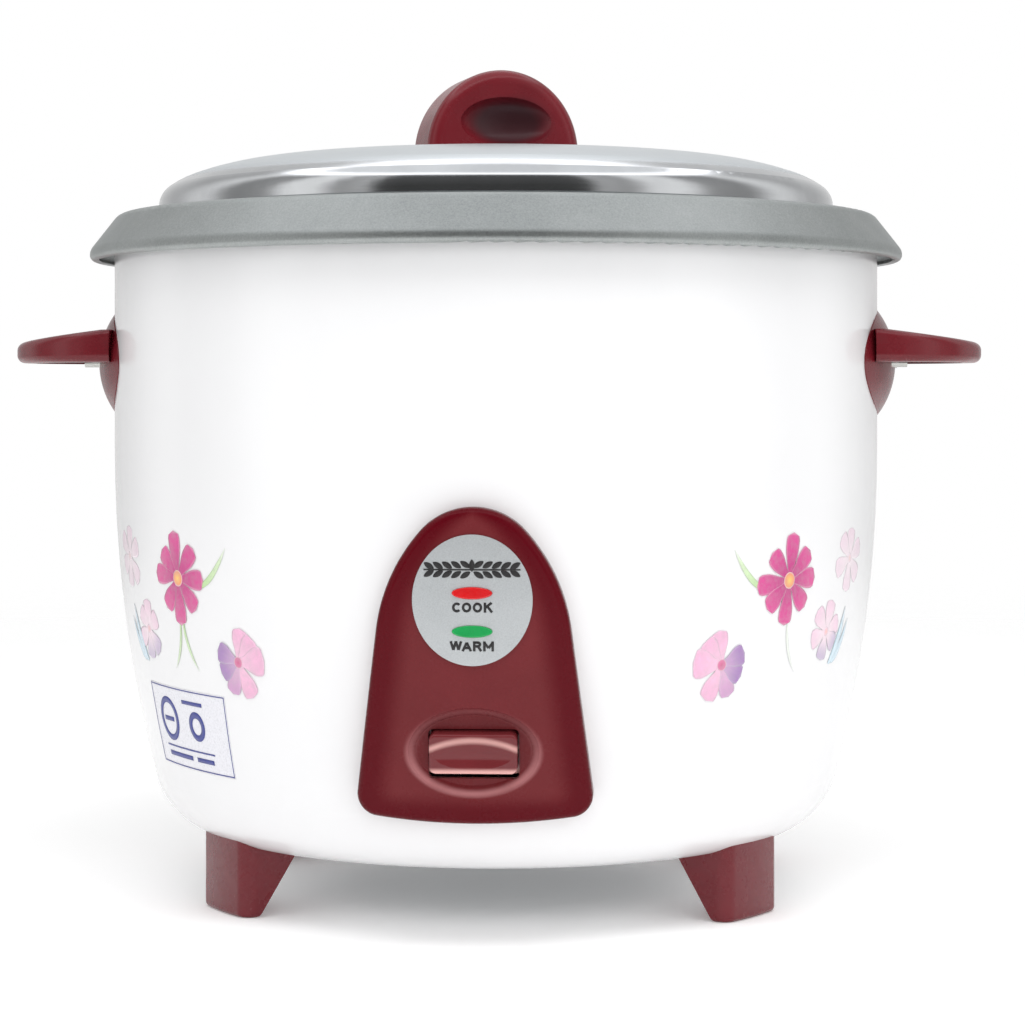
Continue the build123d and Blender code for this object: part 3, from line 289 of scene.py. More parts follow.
def polished_lid(name):
    """Bright rolled band, then a satin dome with spun rings."""
    t = Tree(name)
    radius = t.radius()
    dome = t.ramp(radius, 0.1035, 0.1055, 1.0, 0.0, smooth=True)
    rings = t.noise(1.0, 4.0, 0.7, t.turned(3000.0, 2.5))
    smear = t.noise(38.0, 5.0, 0.6)
    base = t.mix(t.spread(smear), linear(196, 198, 200), linear(212, 214, 216))
    tint = t.mix(dome, base, linear(214, 219, 222))
    gloss = t.math("ADD", t.math("MULTIPLY", dome, 0.20), t.spread(rings, 0.10, 0.17))
    normal = t.bump(rings, 0.22, 0.00002, t.bump(smear, 0.06, 0.0003))
    return t.finish(tint, gloss, normal, 1.0)


def spun_pot(name):
    """Satin aluminium: fine mat grain outside, faint spinning rings and grey tone."""
    t = Tree(name)
    rings = t.noise(1.0, 3.0, 0.6, t.turned(1500.0, 5.0))
    grain = t.noise(1700.0, 3.0, 0.75)
    tone = t.noise(60.0, 5.0, 0.65)
    tint = t.mix(t.ramp(tone, 0.3, 0.72), linear(158, 163, 162), linear(180, 184, 183))
    speck = t.mix(t.ramp(grain, 0.35, 0.7), linear(146, 150, 150), linear(196, 199, 198))
    colour = t.mix(0.5, tint, speck)
    gloss = t.spread(grain, 0.42, 0.56)
    normal = t.bump(grain, 0.45, 0.00006, t.bump(rings, 0.2, 0.00006))
    return t.finish(colour, gloss, normal, 1.0)


def panel_outline(node):
    """Half-width of the front panel at several heights, measured on its mesh from the front."""
    low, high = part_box(node)
    tree = BVHTree.FromObject(nodes[node], bpy.context.evaluated_depsgraph_get())
    found = []
    steps = 24
    for i in range(steps + 1):
        z = low.z + (high.z - low.z) * (i + 0.02) / (steps + 0.04)
        x = high.x + MM
        while x > 0 and tree.ray_cast(Vector((x, low.y - 0.05, z)), Vector((0, 1, 0)))[0] is None:
            x -= 0.2 * MM
        found.append((z, max(x, 0.0)))
    return found


def panel_plastic_painted_reflection(name):
    """Glossy burgundy panel: a brownish face that is painted reflection, a deeper red border where none
    is painted, fine flow marks.
    """
    t = Tree(name)
    outline = panel_outline("control_panel")
    low, high = outline[0][0], outline[-1][0]
    widest = max(w for _, w in outline)
    x, _, z = t.axes()
    share = t.ramp(z, low, high)
    curve = t.add("ShaderNodeFloatCurve")
    t.link(share, curve.inputs["Value"])
    points = curve.mapping.curves[0].points
    while len(points) > 2:
        points.remove(points[1])
    points[0].location = (0.0, outline[0][1] / widest)
    points[-1].location = (1.0, outline[-1][1] / widest)
    for height, width in outline[1:-1]:
        points.new((height - low) / (high - low), width / widest)
    curve.mapping.update()
    inside = t.math("SUBTRACT", t.math("MULTIPLY", curve.outputs[0], widest), t.math("ABSOLUTE", x))
    # painted reflection: the middle is lighter and fades to the deeper border near the sides and the
    # bottom
    side = t.ramp(inside, 4.0 * MM, 12.0 * MM, smooth=True)
    painted_light_foot = t.ramp(t.math("SUBTRACT", z, low), 3.5 * MM, 10.0 * MM, smooth=True)
    face = t.math("MULTIPLY", side, painted_light_foot)
    flow = t.noise(30.0, 2.0, 0.5, distortion=0.8)
    middle = t.mix(t.spread(flow), shade(BURGUNDY_MID, 0.93), shade(BURGUNDY_MID, 1.07))
    tint = t.mix(face, BURGUNDY_DEEP, middle)
    # painted highlight: a softly lighter ring on the dish round the key, stronger toward the bottom
    across = t.math("DIVIDE", x, 18.3 * MM)
    upward = t.math("DIVIDE", t.math("SUBTRACT", z, KEY_Z), 12.0 * MM)
    off_painted_highlight_ring = t.math("ABSOLUTE", t.math("SUBTRACT", t.hypot(across, upward), 1.0))
    rim = t.ramp(off_painted_highlight_ring, 0.0, 0.13, 1.0, 0.0, smooth=True)
    lower = t.ramp(upward, -1.0, 1.0, 1.0, 0.3, smooth=True)
    tint = t.mix(t.math("MULTIPLY", rim, lower), tint, linear(176, 118, 120))
    fine = t.noise(900.0, 4.0, 0.6)
    gloss = t.worn(t.noise(150.0, 5.0, 0.65), 0.24, 0.32, fine)
    normal = t.bump(fine, 0.12, 0.00003, t.bump(t.noise(110.0, 2.0), 0.08, 0.0002))
    return t.finish(tint, gloss, normal, Coat_Weight=0.05, Coat_Roughness=0.1, Specular_IOR_Level=0.12)


def key_plastic_painted_highlights(name):
    """Glossy key: painted highlights, pale along the lower edge and in an arc over the thumb scoop."""
    t = Tree(name)
    x, _, z = t.axes()
    height = t.math("SUBTRACT", z, KEY_Z - KEY_HEIGHT / 2)
    # painted highlight along the lower edge and in an arc over the thumb scoop
    painted_light_foot = t.ramp(height, 0.4 * MM, 2.0 * MM, 1.0, 0.0, smooth=True)
    sag = t.math("MULTIPLY", t.math("MULTIPLY", x, x), 16.0)
    arc = t.math("ABSOLUTE", t.math("SUBTRACT", t.math("ADD", height, sag), 9.7 * MM))
    painted_highlight_brow = t.math("MULTIPLY", t.ramp(arc, 0.0, 1.5 * MM, 1.0, 0.0, smooth=True), 0.75)
    flow = t.noise(30.0, 2.0, 0.5, distortion=0.8)
    tint = t.mix(t.spread(flow), shade(BURGUNDY_MID, 0.95), shade(BURGUNDY_MID, 1.1))
    tint = t.mix(t.math("MAXIMUM", painted_light_foot, painted_highlight_brow), tint, linear(226, 172, 166))
    fine = t.noise(1200.0, 4.0, 0.6)
    gloss = t.ramp(t.noise(160.0, 5.0, 0.65), 0.35, 0.7, 0.1, 0.2)
    normal = t.bump(fine, 0.12, 0.00002)
    return t.finish(tint, gloss, normal, Coat_Weight=0.25, Coat_Roughness=0.06, Specular_IOR_Level=0.3)


def knob_plastic_painted_shade(name):
    """Burgundy knob with painted shade darkening the grip scoops, rubbed matt."""
    t = Tree(name)
    turn = math.radians(KNOB_TURN)
    x, y, z = t.axes()
    run = t.math("ADD", t.math("MULTIPLY", x, math.cos(turn)), t.math("MULTIPLY", y, math.sin(turn)))
    across = t.math("DIVIDE", t.math("SUBTRACT", run, 1.5 * MM), 15.5 * MM)
    upward = t.math("DIVIDE", t.math("SUBTRACT", z, SCOOP_Z), 9.4 * MM)
    scoop = t.ramp(t.hypot(across, upward), 0.55, 1.05, 1.0, 0.0, smooth=True)
    flow = t.noise(28.0, 2.0, 0.5, distortion=0.6)
    tint = t.mix(t.spread(flow), shade(BURGUNDY, 1.05), shade(BURGUNDY, 1.35))
    # painted shade in the grip scoops
    tint = t.mix(scoop, tint, linear(62, 26, 32))
    fine = t.noise(900.0, 4.0, 0.6)
    wear = t.ramp(t.noise(160.0, 5.0, 0.65), 0.35, 0.7, 0.22, 0.32)
    gloss = t.math("ADD", wear, t.math("MULTIPLY", scoop, 0.12))
    normal = t.bump(fine, 0.15, 0.00003, t.bump(t.noise(120.0, 2.0), 0.08, 0.0002))
    return t.finish(tint, gloss, normal, Coat_Weight=0.1, Coat_Roughness=0.12, Specular_IOR_Level=0.3)


LENS_RIBS = 9000.0


def lamp_lens(name, colour):
    """Translucent coloured lens: a cloudy tone and faint prism ribs."""
    t = Tree(name)
    x, _, _ = t.axes()
    ribs = t.math("SINE", t.math("MULTIPLY", x, LENS_RIBS))
    glow = t.noise(240.0, 2.0)
    tint = t.mix(t.spread(glow), shade(colour, 0.9), shade(colour, 1.12))
    gloss = t.spread(t.noise(500.0), 0.16, 0.24)
    normal = t.bump(ribs, 0.15, 0.00004)
    clear = {"Coat_Weight": 0.5, "Coat_Roughness": 0.05, "Transmission_Weight": 0.12}
    material = t.finish(tint, gloss, normal, **clear)
    t.shader.inputs["Emission Color"].default_value = (*colour, 1)
    t.shader.inputs["Emission Strength"].default_value = 0.05
    return material


def foil_badge(name):
    """Silver printed badge: very fine speckle in a satin lacquer."""
    t = Tree(name)
    speck = t.noise(2600.0, 2.0, 0.8)
    tone = t.noise(90.0, 3.0)
    tint = t.mix(t.spread(speck), linear(176, 180, 182), linear(198, 202, 204))
    tint = t.mix(t.spread(tone, 0.0, 0.25), tint, linear(205, 208, 210))
    gloss = t.spread(speck, 0.34, 0.46)
    normal = t.bump(speck, 0.2, 0.00003)
    return t.finish(tint, gloss, normal, 0.55, Coat_Weight=0.3, Coat_Roughness=0.15)


def printed(name, colour, rough=0.4):
    """Screen-printed ink: slightly uneven cover."""
    t = Tree(name)
    cover = t.noise(1500.0, 4.0, 0.7)
    tint = t.mix(t.spread(cover), shade(colour, 0.85), tuple(c + 0.02 for c in colour))
    gloss = t.spread(cover, rough - 0.05, rough + 0.08)
    return t.finish(tint, gloss, t.bump(cover, 0.15, 0.00002))


def thin_glass(name):
    """Neon lamp bulb: clear glass with a faint amber tone."""
    t = Tree(name)
    tint = t.mix(t.spread(t.noise(300.0)), (0.9, 0.82, 0.74), (0.98, 0.94, 0.9))
    gloss = t.spread(t.noise(700.0), 0.03, 0.09)
    return t.finish(tint, gloss, t.bump(t.noise(200.0), 0.05, 0.0001), Transmission_Weight=0.85)


finishes = {
    "white_enamel": enamel("drum_enamel", WHITE),
    "plain_aluminium": sheet_metal("rolled_aluminium", linear(186, 190, 192), 0.34),
    "satin_aluminium": spun_pot("spun_pot_aluminium"),
    "cast_aluminium": turned_metal("turned_plate", linear(184, 187, 188), 0.3, 1500.0, 0.00006, 2.0),
    "galvanised_steel": sheet_metal(
        "galvanised_sheet", linear(168, 173, 176), 0.38, 500.0, 0.00008, blotch=120.0, contrast=0.16
    ),
    "zinc_screw": sheet_metal("zinc_plated", linear(190, 190, 186), 0.28, 1400.0, 0.00003),
    "plain_steel": sheet_metal("bright_steel", linear(160, 163, 166), 0.3, 1100.0, 0.00004),
    "polished_steel": polished_lid("polished_lid_steel"),
    "burgundy_plastic": moulded("burgundy_moulding", BURGUNDY, 0.27),
    "silver_badge": foil_badge("badge_foil"),
    "red_lens": lamp_lens("lens_red", linear(212, 14, 20)),
    "green_lens": lamp_lens("lens_green", linear(0, 158, 76)),
    "lamp_glass": thin_glass("neon_glass"),
    "black_plastic": moulded("black_moulding", linear(34, 34, 36), 0.42, 0.2),
    "white_plastic": moulded("white_moulding", linear(226, 222, 212), 0.4, 0.04),
    "heater_tube": sheet_metal(
        "heater_sheath", linear(92, 84, 78), 0.5, 600.0, 0.00008, blotch=80.0, contrast=0.25
    ),
    "dark_ferrite": moulded("sintered_ferrite", linear(52, 51, 54), 0.6, 0.15, 1600.0, 0.0001, 0.0),
    "brass_blade": sheet_metal("brass", linear(214, 182, 112), 0.28, 900.0, 0.00003),
    "wire_brown": lead_sleeve("sleeve_brown", linear(104, 66, 44)),
    "wire_white": lead_sleeve("sleeve_white", linear(222, 218, 206)),
    "wire_blue": lead_sleeve("sleeve_blue", linear(60, 96, 158)),
    "wire_green": lead_sleeve("sleeve_green", linear(86, 140, 62)),
}
for node in nodes.values():
    for spot in node.material_slots:
        spot.material = finishes[spot.material.name.split(".")[0]]
nodes["control_panel"].material_slots[0].material = panel_plastic_painted_reflection("panel_moulding_painted_reflection")
nodes["cook_key"].material_slots[0].material = key_plastic_painted_highlights("key_moulding_painted_highlights")
nodes["lid_knob"].material_slots[0].material = knob_plastic_painted_shade("knob_moulding_painted_shade")

# ---------------------------------------------------------------- thermostat spring, under its cap
SPRING_WIRE = 0.6 * MM
OPEN_TURNS = 4
EASE_IN = 0.3
STEPS_PER_TURN = 28
WIRE_SIDES = 10


def thermostat_coil(name, node):
    """Compression spring with a closed turn at each end, in the place of the CAD node."""
    low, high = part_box(node)
    coil_r = (high.x - low.x) / 2 - SPRING_WIRE
    middle = (low + high) / 2
    closed = 2.1 * SPRING_WIRE
    rise = high.z - low.z - 2 * SPRING_WIRE - 2 * closed
    turns = OPEN_TURNS + 2
    mesh = bmesh.new()
    rings = []
    for i in range(turns * STEPS_PER_TURN + 1):
        done = i / STEPS_PER_TURN
        angle = 2 * math.pi * done
        open_share = max(0.0, min(1.0, (done - 1) / OPEN_TURNS))
        spread = EASE_IN * smooth(open_share) + (1 - EASE_IN) * open_share
        closed_turns = min(done, 1.0) + max(0.0, done - 1 - OPEN_TURNS)
        z = low.z + SPRING_WIRE + closed * closed_turns + rise * spread
        outward = Vector((math.cos(angle), math.sin(angle), 0))
        centre = Vector((middle.x, middle.y, z)) + outward * coil_r
        section = []
        for k in range(WIRE_SIDES):
            a = 2 * math.pi * k / WIRE_SIDES
            point = centre + outward * SPRING_WIRE * math.cos(a)
            section.append(mesh.verts.new(point + Vector((0, 0, SPRING_WIRE * math.sin(a)))))
        rings.append(section)
    for here, ahead in zip(rings, rings[1:]):
        for k in range(WIRE_SIDES):
            j = (k + 1) % WIRE_SIDES
            mesh.faces.new((here[k], here[j], ahead[j], ahead[k]))
    mesh.faces.new(rings[0])
    mesh.faces.new(rings[-1])
    bmesh.ops.recalc_face_normals(mesh, faces=mesh.faces)
    data = bpy.data.meshes.new(name)
    mesh.to_mesh(data)
    mesh.free()
    for polygon in data.polygons:
        polygon.use_smooth = len(polygon.vertices) == 4
    piece = bpy.data.objects.new(name, data)
    bpy.context.scene.collection.objects.link(piece)
    data.materials.append(nodes[node].material_slots[0].material)
    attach(piece, "cooker")
    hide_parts(node)
    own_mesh(piece)
    return piece


# ---------------------------------------------------------------- printed flowers, laid on the drum
drum_tree = BVHTree.FromObject(nodes["outer_shell"], bpy.context.evaluated_depsgraph_get())
DRUM_R = 0.125
PRINT_LIFT = 0.06 * MM
PRINT_THICK = 0.03 * MM
LAYER_STEP = 0.006 * MM


def on_drum(angle, z, lift=PRINT_LIFT):
    """Point on the drum at an angle from the front, toward +X, and a height."""
    outward = Vector((math.sin(angle), -math.cos(angle), 0))
    hit, normal, _, _ = drum_tree.ray_cast(outward * 0.2 + Vector((0, 0, z)), -outward)
    return hit + normal * lift


class Print:
    """One printed piece: patches of a colour that fades, laid on a surface and given thickness."""

    def __init__(self, place):
        self.place = place
        self.layer = 0
        self.mesh = bmesh.new()
        self.colour = self.mesh.verts.layers.float_color.new("print_colour")
        self.cover = self.mesh.verts.layers.float.new("print_cover")

    def patch(self, rows, columns, point, colour, cover):
        """A grid: point(s, t), colour(s, t) and cover(s, t) for s, t in 0..1."""
        self.layer += 1
        grid = []
        for i in range(rows + 1):
            line = []
            for j in range(columns + 1):
                s, t = i / rows, j / columns
                vertex = self.mesh.verts.new(self.place(*point(s, t), self.layer * LAYER_STEP))
                vertex[self.colour] = (*colour(s, t), 1.0)
                vertex[self.cover] = cover(s, t)
                line.append(vertex)
            grid.append(line)
        for i in range(rows):
            for j in range(columns):
                self.mesh.faces.new((grid[i][j], grid[i][j + 1], grid[i + 1][j + 1], grid[i + 1][j]))

    def build(self, name, material, outward):
        bmesh.ops.remove_doubles(self.mesh, verts=self.mesh.verts, dist=1e-7)
        self.mesh.normal_update()
        for face in self.mesh.faces:
            if face.normal.dot(outward(face.calc_center_median())) < 0:
                face.normal_flip()
        data = bpy.data.meshes.new(name)
        self.mesh.to_mesh(data)
        self.mesh.free()
        for polygon in data.polygons:
            polygon.use_smooth = True
        piece = bpy.data.objects.new(name, data)
        bpy.context.scene.collection.objects.link(piece)
        data.materials.append(material)
        solid = piece.modifiers.new("thickness", "SOLIDIFY")
        solid.thickness = PRINT_THICK
        solid.offset = 1.0
        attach(piece, "cooker")
        return piece


def blend_colour(a, b, t):
    return tuple(x + (y - x) * t for x, y in zip(a, b))


def smooth(t):
    t = max(0.0, min(1.0, t))
    return t * t * (3 - 2 * t)


def petal(sheet, centre, direction, inner, outer, width, tip, root, strength=1.0):
    """A petal from the flower's centre outward; u runs round the drum and v up, in metres."""
    along = (math.cos(direction), math.sin(direction))
    across = (-along[1], along[0])

    def half(s):
        rounding = max(0.0, (s - 0.8) / 0.2) ** 2.6
        return width * (0.34 + 0.66 * smooth(s / 0.7)) * math.sqrt(max(0.0, 1 - rounding) + 1e-4)

    def point(s, t):
        side = 2 * t - 1
        reach = inner + (outer - inner) * s
        u = centre[0] + along[0] * reach + across[0] * side * half(s)
        v = centre[1] + along[1] * reach + across[1] * side * half(s)
        return u, v

    def colour(s, t):
        vein = 0.12 * abs(math.sin(t * math.pi * 3))
        return blend_colour(root, tip, smooth(s * 1.2 - vein))

    def cover(s, t):
        rim = min(1.0, 5.0 * min(t, 1 - t) + 0.78, 4.0 * (1 - s) + 0.7)
        return strength * rim

    sheet.patch(12, 8, point, colour, cover)


def disc(sheet, centre, radius, inner, outer, strength=1.0):
    def point(s, t):
        return (
            centre[0] + math.cos(2 * math.pi * t) * radius * s,
            centre[1] + math.sin(2 * math.pi * t) * radius * s,
        )

    def cover(s, t):
        return strength * min(1.0, 3.0 * (1 - s) + 0.4)

    sheet.patch(5, 28, point, lambda s, t: blend_colour(inner, outer, s), cover)


def stroke(sheet, points, width, root, tip, strength=1.0):
    """A tapering leaf or stem along a quadratic curve of three points."""
    a, b, c = points

    def at(s):
        return tuple((1 - s) ** 2 * p + 2 * s * (1 - s) * q + s * s * r for p, q, r in zip(a, b, c))

    def point(s, t):
        here, ahead, behind = at(s), at(min(1.0, s + 0.01)), at(max(0.0, s - 0.01))
        du, dv = ahead[0] - behind[0], ahead[1] - behind[1]
        size = math.hypot(du, dv) or 1.0
        half = width * (math.sin(math.pi * min(0.98, s * 0.92 + 0.06)) ** 0.8)
        side = (2 * t - 1) * half
        return here[0] - dv / size * side, here[1] + du / size * side

    def cover(s, t):
        return strength * min(1.0, 4.0 * (1 - s) + 0.25)

    sheet.patch(26, 4, point, lambda s, t: blend_colour(root, tip, s), cover)


MAGENTA = linear(214, 74, 146)
MAGENTA_DEEP = linear(190, 52, 128)
PINK = linear(236, 176, 208)
PINK_PALE = linear(244, 206, 222)
PURPLE = linear(158, 116, 178)
YELLOW = linear(250, 206, 110)
ORANGE = linear(236, 134, 110)
LEAF = linear(176, 214, 140)
LEAF_PALE = linear(222, 238, 206)
SKY = linear(196, 224, 238)
ROSE = linear(206, 96, 140)


def at_deg(angle, z):
    """Decal centre: u is the run round the drum at its widest, v the height."""
    return (math.radians(angle) * DRUM_R, z * MM)


def from_axis(p):
    """Outward direction at a point of the drum."""
    return Vector((p.x, p.y, 0))


def flowers(side, name):
    """The printed spray on one side of the drum; side is -1 or 1."""
    sheet = Print(lambda u, v, up: on_drum(u / DRUM_R, v, PRINT_LIFT + up))
    rng = random.Random(11 + side)
    # faint outer flowers, leaves behind the rest
    for angle, z, size, strength in ((65.5, 111, 10.8, 0.42), (59.5, 89, 9.6, 0.6)):
        centre = at_deg(side * angle, z)
        for k in range(6):
            turn = math.radians(60 * k + 22 + rng.uniform(-8, 8))
            tone = PURPLE if (k in (4, 5) and z < 100) else PINK
            reach = size * rng.uniform(0.85, 1.05) * MM
            petal(sheet, centre, turn, 0.8 * MM, reach, 3.1 * MM, tone, PINK_PALE, strength)
        disc(sheet, centre, 1.5 * MM, ORANGE, PINK, strength)
    for lean, reach in ((0, 17), (1, 13)):
        start = at_deg(side * (61.5 + lean), 79)
        middle = (start[0] + side * 5 * MM, start[1] + 2 * MM)
        end = (start[0] + side * (9 + lean) * MM, start[1] + reach * MM)
        stroke(sheet, (start, middle, end), (1.7 - 0.5 * lean) * MM, SKY, shade(SKY, 0.94), 0.8)
    # leaf and stems of the large flower
    big = at_deg(side * 48.5, 106)
    leaf_start = (big[0] - side * 9.5 * MM, big[1] - 2.5 * MM)
    leaf_middle = (big[0] - side * 17 * MM, big[1] - 1.5 * MM)
    leaf_end = (big[0] - side * 24 * MM, big[1] + 10 * MM)
    stroke(sheet, (leaf_start, leaf_middle, leaf_end), 0.95 * MM, LEAF, LEAF_PALE)
    for lean in (-1, 1) if side < 0 else (1,):
        base = (big[0] + lean * 0.8 * MM, big[1] - 12 * MM)
        knee = (base[0], base[1] - 9 * MM)
        end = (base[0] + lean * 6 * MM, base[1] - 16 * MM)
        strength = 0.9 if side < 0 else 0.2
        stroke(sheet, (base, knee, end), 0.55 * MM, LEAF, LEAF_PALE, strength)
    # the large flower
    for k in range(8):
        turn = math.radians(45 * k + 90 + rng.uniform(-5, 5))
        reach = (14.0 if k % 2 == 0 else 12.8) * rng.uniform(0.94, 1.04)
        petal(sheet, big, turn, 1.0 * MM, reach * MM, 3.15 * MM, MAGENTA, MAGENTA_DEEP)
    disc(sheet, big, 2.5 * MM, YELLOW, ORANGE)
    # the two-tone flower
    low = at_deg(side * 36.5, 82)
    wings = (
        (100, 10.5, 3.0, PINK),
        (140, 10.0, 4.2, PINK),
        (175, 10.8, 4.4, PINK),
        (245, 11.5, 3.2, PINK),
        (292, 10.5, 2.9, blend_colour(PURPLE, PINK, 0.5)),
        (335, 9.0, 3.0, PURPLE),
        (20, 9.4, 3.2, PURPLE),
    )
    for degrees, reach, width, tone in wings:
        turn = math.radians(degrees if side > 0 else 180 - degrees)
        root = blend_colour(tone, PINK_PALE, 0.35)
        petal(sheet, low, turn, 0.9 * MM, reach * MM, width * MM, tone, root, 0.95)
    disc(sheet, low, 1.8 * MM, ROSE, blend_colour(ROSE, PINK, 0.4))
    return sheet.build(name, prints, from_axis)


thermostat_coil("thermostat_coil", "thermostat_spring")
prints = enamel("printed_enamel", WHITE, tinted=True)
flowers(-1, "flowers_left")
flowers(1, "flowers_right")

# ---------------------------------------------------------------- sticker, with plain shapes only
STICKER_LIFT = 0.08 * MM
sticker_centre = (math.radians(-51.6) * DRUM_R, 59.0 * MM)
sticker_turn = math.radians(-1.5)
sticker_half = (24.0 * MM, 12.7 * MM)


def on_sticker(lift):
    def place(u, v, up):
        a, b = math.cos(sticker_turn), math.sin(sticker_turn)
        x = sticker_centre[0] + u * a - v * b
        z = sticker_centre[1] + u * b + v * a
        return on_drum(x / DRUM_R, z, lift + up)

    return place


def plain(sheet, point, rows, columns):
    sheet.patch(rows, columns, point, lambda s, t: (1, 1, 1), lambda s, t: 1.0)


def bar(sheet, u0, v0, u1, v1):
    columns = max(2, int(abs(u1 - u0) / (1.2 * MM)))
    rows = max(1, int(abs(v1 - v0) / (1.2 * MM)))
    plain(sheet, lambda s, t: (u0 + (u1 - u0) * t, v0 + (v1 - v0) * s), rows, columns)


def ring(sheet, u, v, inner, outer, start=0.0, turn=360.0):
    def point(s, t):
        a = math.radians(start + turn * t)
        r = inner + (outer - inner) * s
        return u + r * math.cos(a), v + r * math.sin(a)

    plain(sheet, point, 2, 40)


sheet = Print(on_sticker(STICKER_LIFT))
bar(sheet, -sticker_half[0], -sticker_half[1], sticker_half[0], sticker_half[1])
sheet.build("sticker_base", printed("sticker_film", linear(240, 240, 246), 0.3), from_axis)

sheet = Print(on_sticker(STICKER_LIFT + 0.06 * MM))
w, h = sticker_half[0] - 0.3 * MM, sticker_half[1] - 0.3 * MM
edge = 0.35 * MM
for side in (-1, 1):
    bar(sheet, -w, side * (h - edge / 2) - edge / 2, w, side * (h - edge / 2) + edge / 2)
for side in (-1, 1):
    bar(sheet, side * (w - edge / 2) - edge / 2, -h, side * (w - edge / 2) + edge / 2, h)
ring(sheet, -11.5 * MM, 2.2 * MM, 5.0 * MM, 6.9 * MM)
ring(sheet, 7.0 * MM, 1.6 * MM, 2.6 * MM, 4.6 * MM)
# left, right, height and half width of each bar, in mm
STICKER_BARS = (
    (-15, -8, 2.2, 0.7),
    (-0.5, 11.5, 8.6, 0.6),
    (-17, 15, -6.4, 0.25),
    (-16, 1, -8.9, 0.7),
    (4, 14, -8.9, 0.7),
)
for u0, u1, v, half in STICKER_BARS:
    bar(sheet, u0 * MM, (v - half) * MM, u1 * MM, (v + half) * MM)
sheet.build("sticker_marks", printed("sticker_ink", linear(64, 72, 148), 0.35), from_axis)

# ---------------------------------------------------------------- printing on the badge
badge_tree = BVHTree.FromObject(nodes["panel_badge"], bpy.context.evaluated_depsgraph_get())


def on_badge(u, v, up, lift=0.03 * MM):
    hit, normal, _, _ = badge_tree.ray_cast(Vector((u, -0.2, v)), Vector((0, 1, 0)))
    return hit + normal * (lift + up)


badge_ink = printed("badge_ink", linear(22, 20, 22), 0.35)
ORNAMENT_Z = 112.0 * MM
sheet = Print(on_badge)


def grain(u, v, length, width, lean):
    """One rice grain: a pointed lens shape."""
    a, b = math.cos(lean), math.sin(lean)

    def point(s, t):
        along = (s - 0.5) * length
        half = width * math.sin(math.pi * (0.03 + 0.94 * s)) ** 0.75
        side = (2 * t - 1) * half
        return u + along * a - side * b, v + along * b + side * a

    plain(sheet, point, 10, 4)


for side in (-1, 1):
    for k in range(5):
        for way in (-1, 1):
            lean = side * way * 0.55 + math.pi * (side < 0)
            u, v = side * (1.9 + 2.6 * k) * MM, ORNAMENT_Z + way * (1.5 - 0.1 * k) * MM
            grain(u, v, 3.3 * MM, 0.8 * MM, lean)
grain(0, ORNAMENT_Z + 1.2 * MM, 3.4 * MM, 0.8 * MM, math.pi / 2)
bar(sheet, -13.8 * MM, ORNAMENT_Z - 0.22 * MM, 13.8 * MM, ORNAMENT_Z + 0.22 * MM)
sheet.build("badge_ornament", badge_ink, lambda p: Vector((0, -1, 0)))


CAP = 2.85 * MM
INK = 0.36 * MM
PITCH = 3.1 * MM
TALL, WIDE = CAP / 2, 1.18 * MM
POST = WIDE * 0.82


def limb(sheet, u0, v0, u1, v1):
    """A straight stroke of a letter."""
    size = math.hypot(u1 - u0, v1 - v0)
    du, dv = (u1 - u0) / size * INK, (v1 - v0) / size * INK

    def point(s, t):
        side = 2 * t - 1
        return u0 + (u1 - u0) * s - dv * side, v0 + (v1 - v0) * s + du * side

    plain(sheet, point, max(2, round(size / MM * 1.5)), 1)


def bowl(sheet, u, v, wide, tall, start=0.0, turn=360.0):
    """A round stroke of a letter."""

    def point(s, t):
        a = math.radians(start + turn * t)
        grow = (2 * s - 1) * INK
        return u + (wide + grow) * math.cos(a), v + (tall + grow) * math.sin(a)

    plain(sheet, point, 1, 36)


def letter(sheet, kind, u, v):
    """One capital letter, centred on u, v."""
    reach = TALL - INK
    strokes = {
        "K": (
            (-POST, -TALL, -POST, TALL),
            (-POST, -0.1 * TALL, WIDE * 0.8, TALL * 0.97),
            (-0.2 * WIDE, 0.2 * TALL, WIDE * 0.9, -TALL * 0.97),
        ),
        "W": (
            (-1.25 * WIDE, TALL, -0.62 * WIDE, -reach),
            (-0.62 * WIDE, -reach, 0, TALL),
            (0, TALL, 0.62 * WIDE, -reach),
            (0.62 * WIDE, -reach, 1.25 * WIDE, TALL),
        ),
        "A": (
            (-WIDE, -TALL, 0, reach),
            (0, reach, WIDE, -TALL),
            (-0.55 * WIDE, -0.35 * TALL, 0.55 * WIDE, -0.35 * TALL),
        ),
        "R": (
            (-POST, -TALL, -POST, TALL),
            (-POST, reach, 0.1 * WIDE, reach),
            (-POST, 0, 0.1 * WIDE, 0),
            (0.05 * WIDE, 0, WIDE * 0.85, -TALL * 0.97),
        ),
        "M": (
            (-WIDE, -TALL, -WIDE, TALL),
            (-WIDE, reach, 0, -0.35 * TALL),
            (0, -0.35 * TALL, WIDE, reach),
            (WIDE, -TALL, WIDE, TALL),
        ),
    }
    for u0, v0, u1, v1 in strokes.get(kind, ()):
        limb(sheet, u + u0, v + v0, u + u1, v + v1)
    if kind == "C":
        bowl(sheet, u + 0.3 * MM, v, WIDE - INK / 2, reach, 42.0, 276.0)
    if kind == "O":
        bowl(sheet, u, v, WIDE - INK / 2, reach)
    if kind == "R":
        bowl(sheet, u + 0.1 * WIDE, v + reach / 2, reach / 2, reach / 2, -90.0, 180.0)


def badge_word(word, z, name):
    """A generic function word in plain strokes, printed on the badge."""
    sheet = Print(on_badge)
    for place, kind in enumerate(word):
        letter(sheet, kind, (place - (len(word) - 1) / 2) * PITCH, z)
    sheet.build(name, badge_ink, lambda p: Vector((0, -1, 0)))


badge_word("COOK", 101.2 * MM, "word_cook")
badge_word("WARM", 90.1 * MM, "word_warm")

# ---------------------------------------------------------------- studio
scene = bpy.context.scene
scene.view_settings.view_transform = "Standard"
scene.view_settings.look = "None"


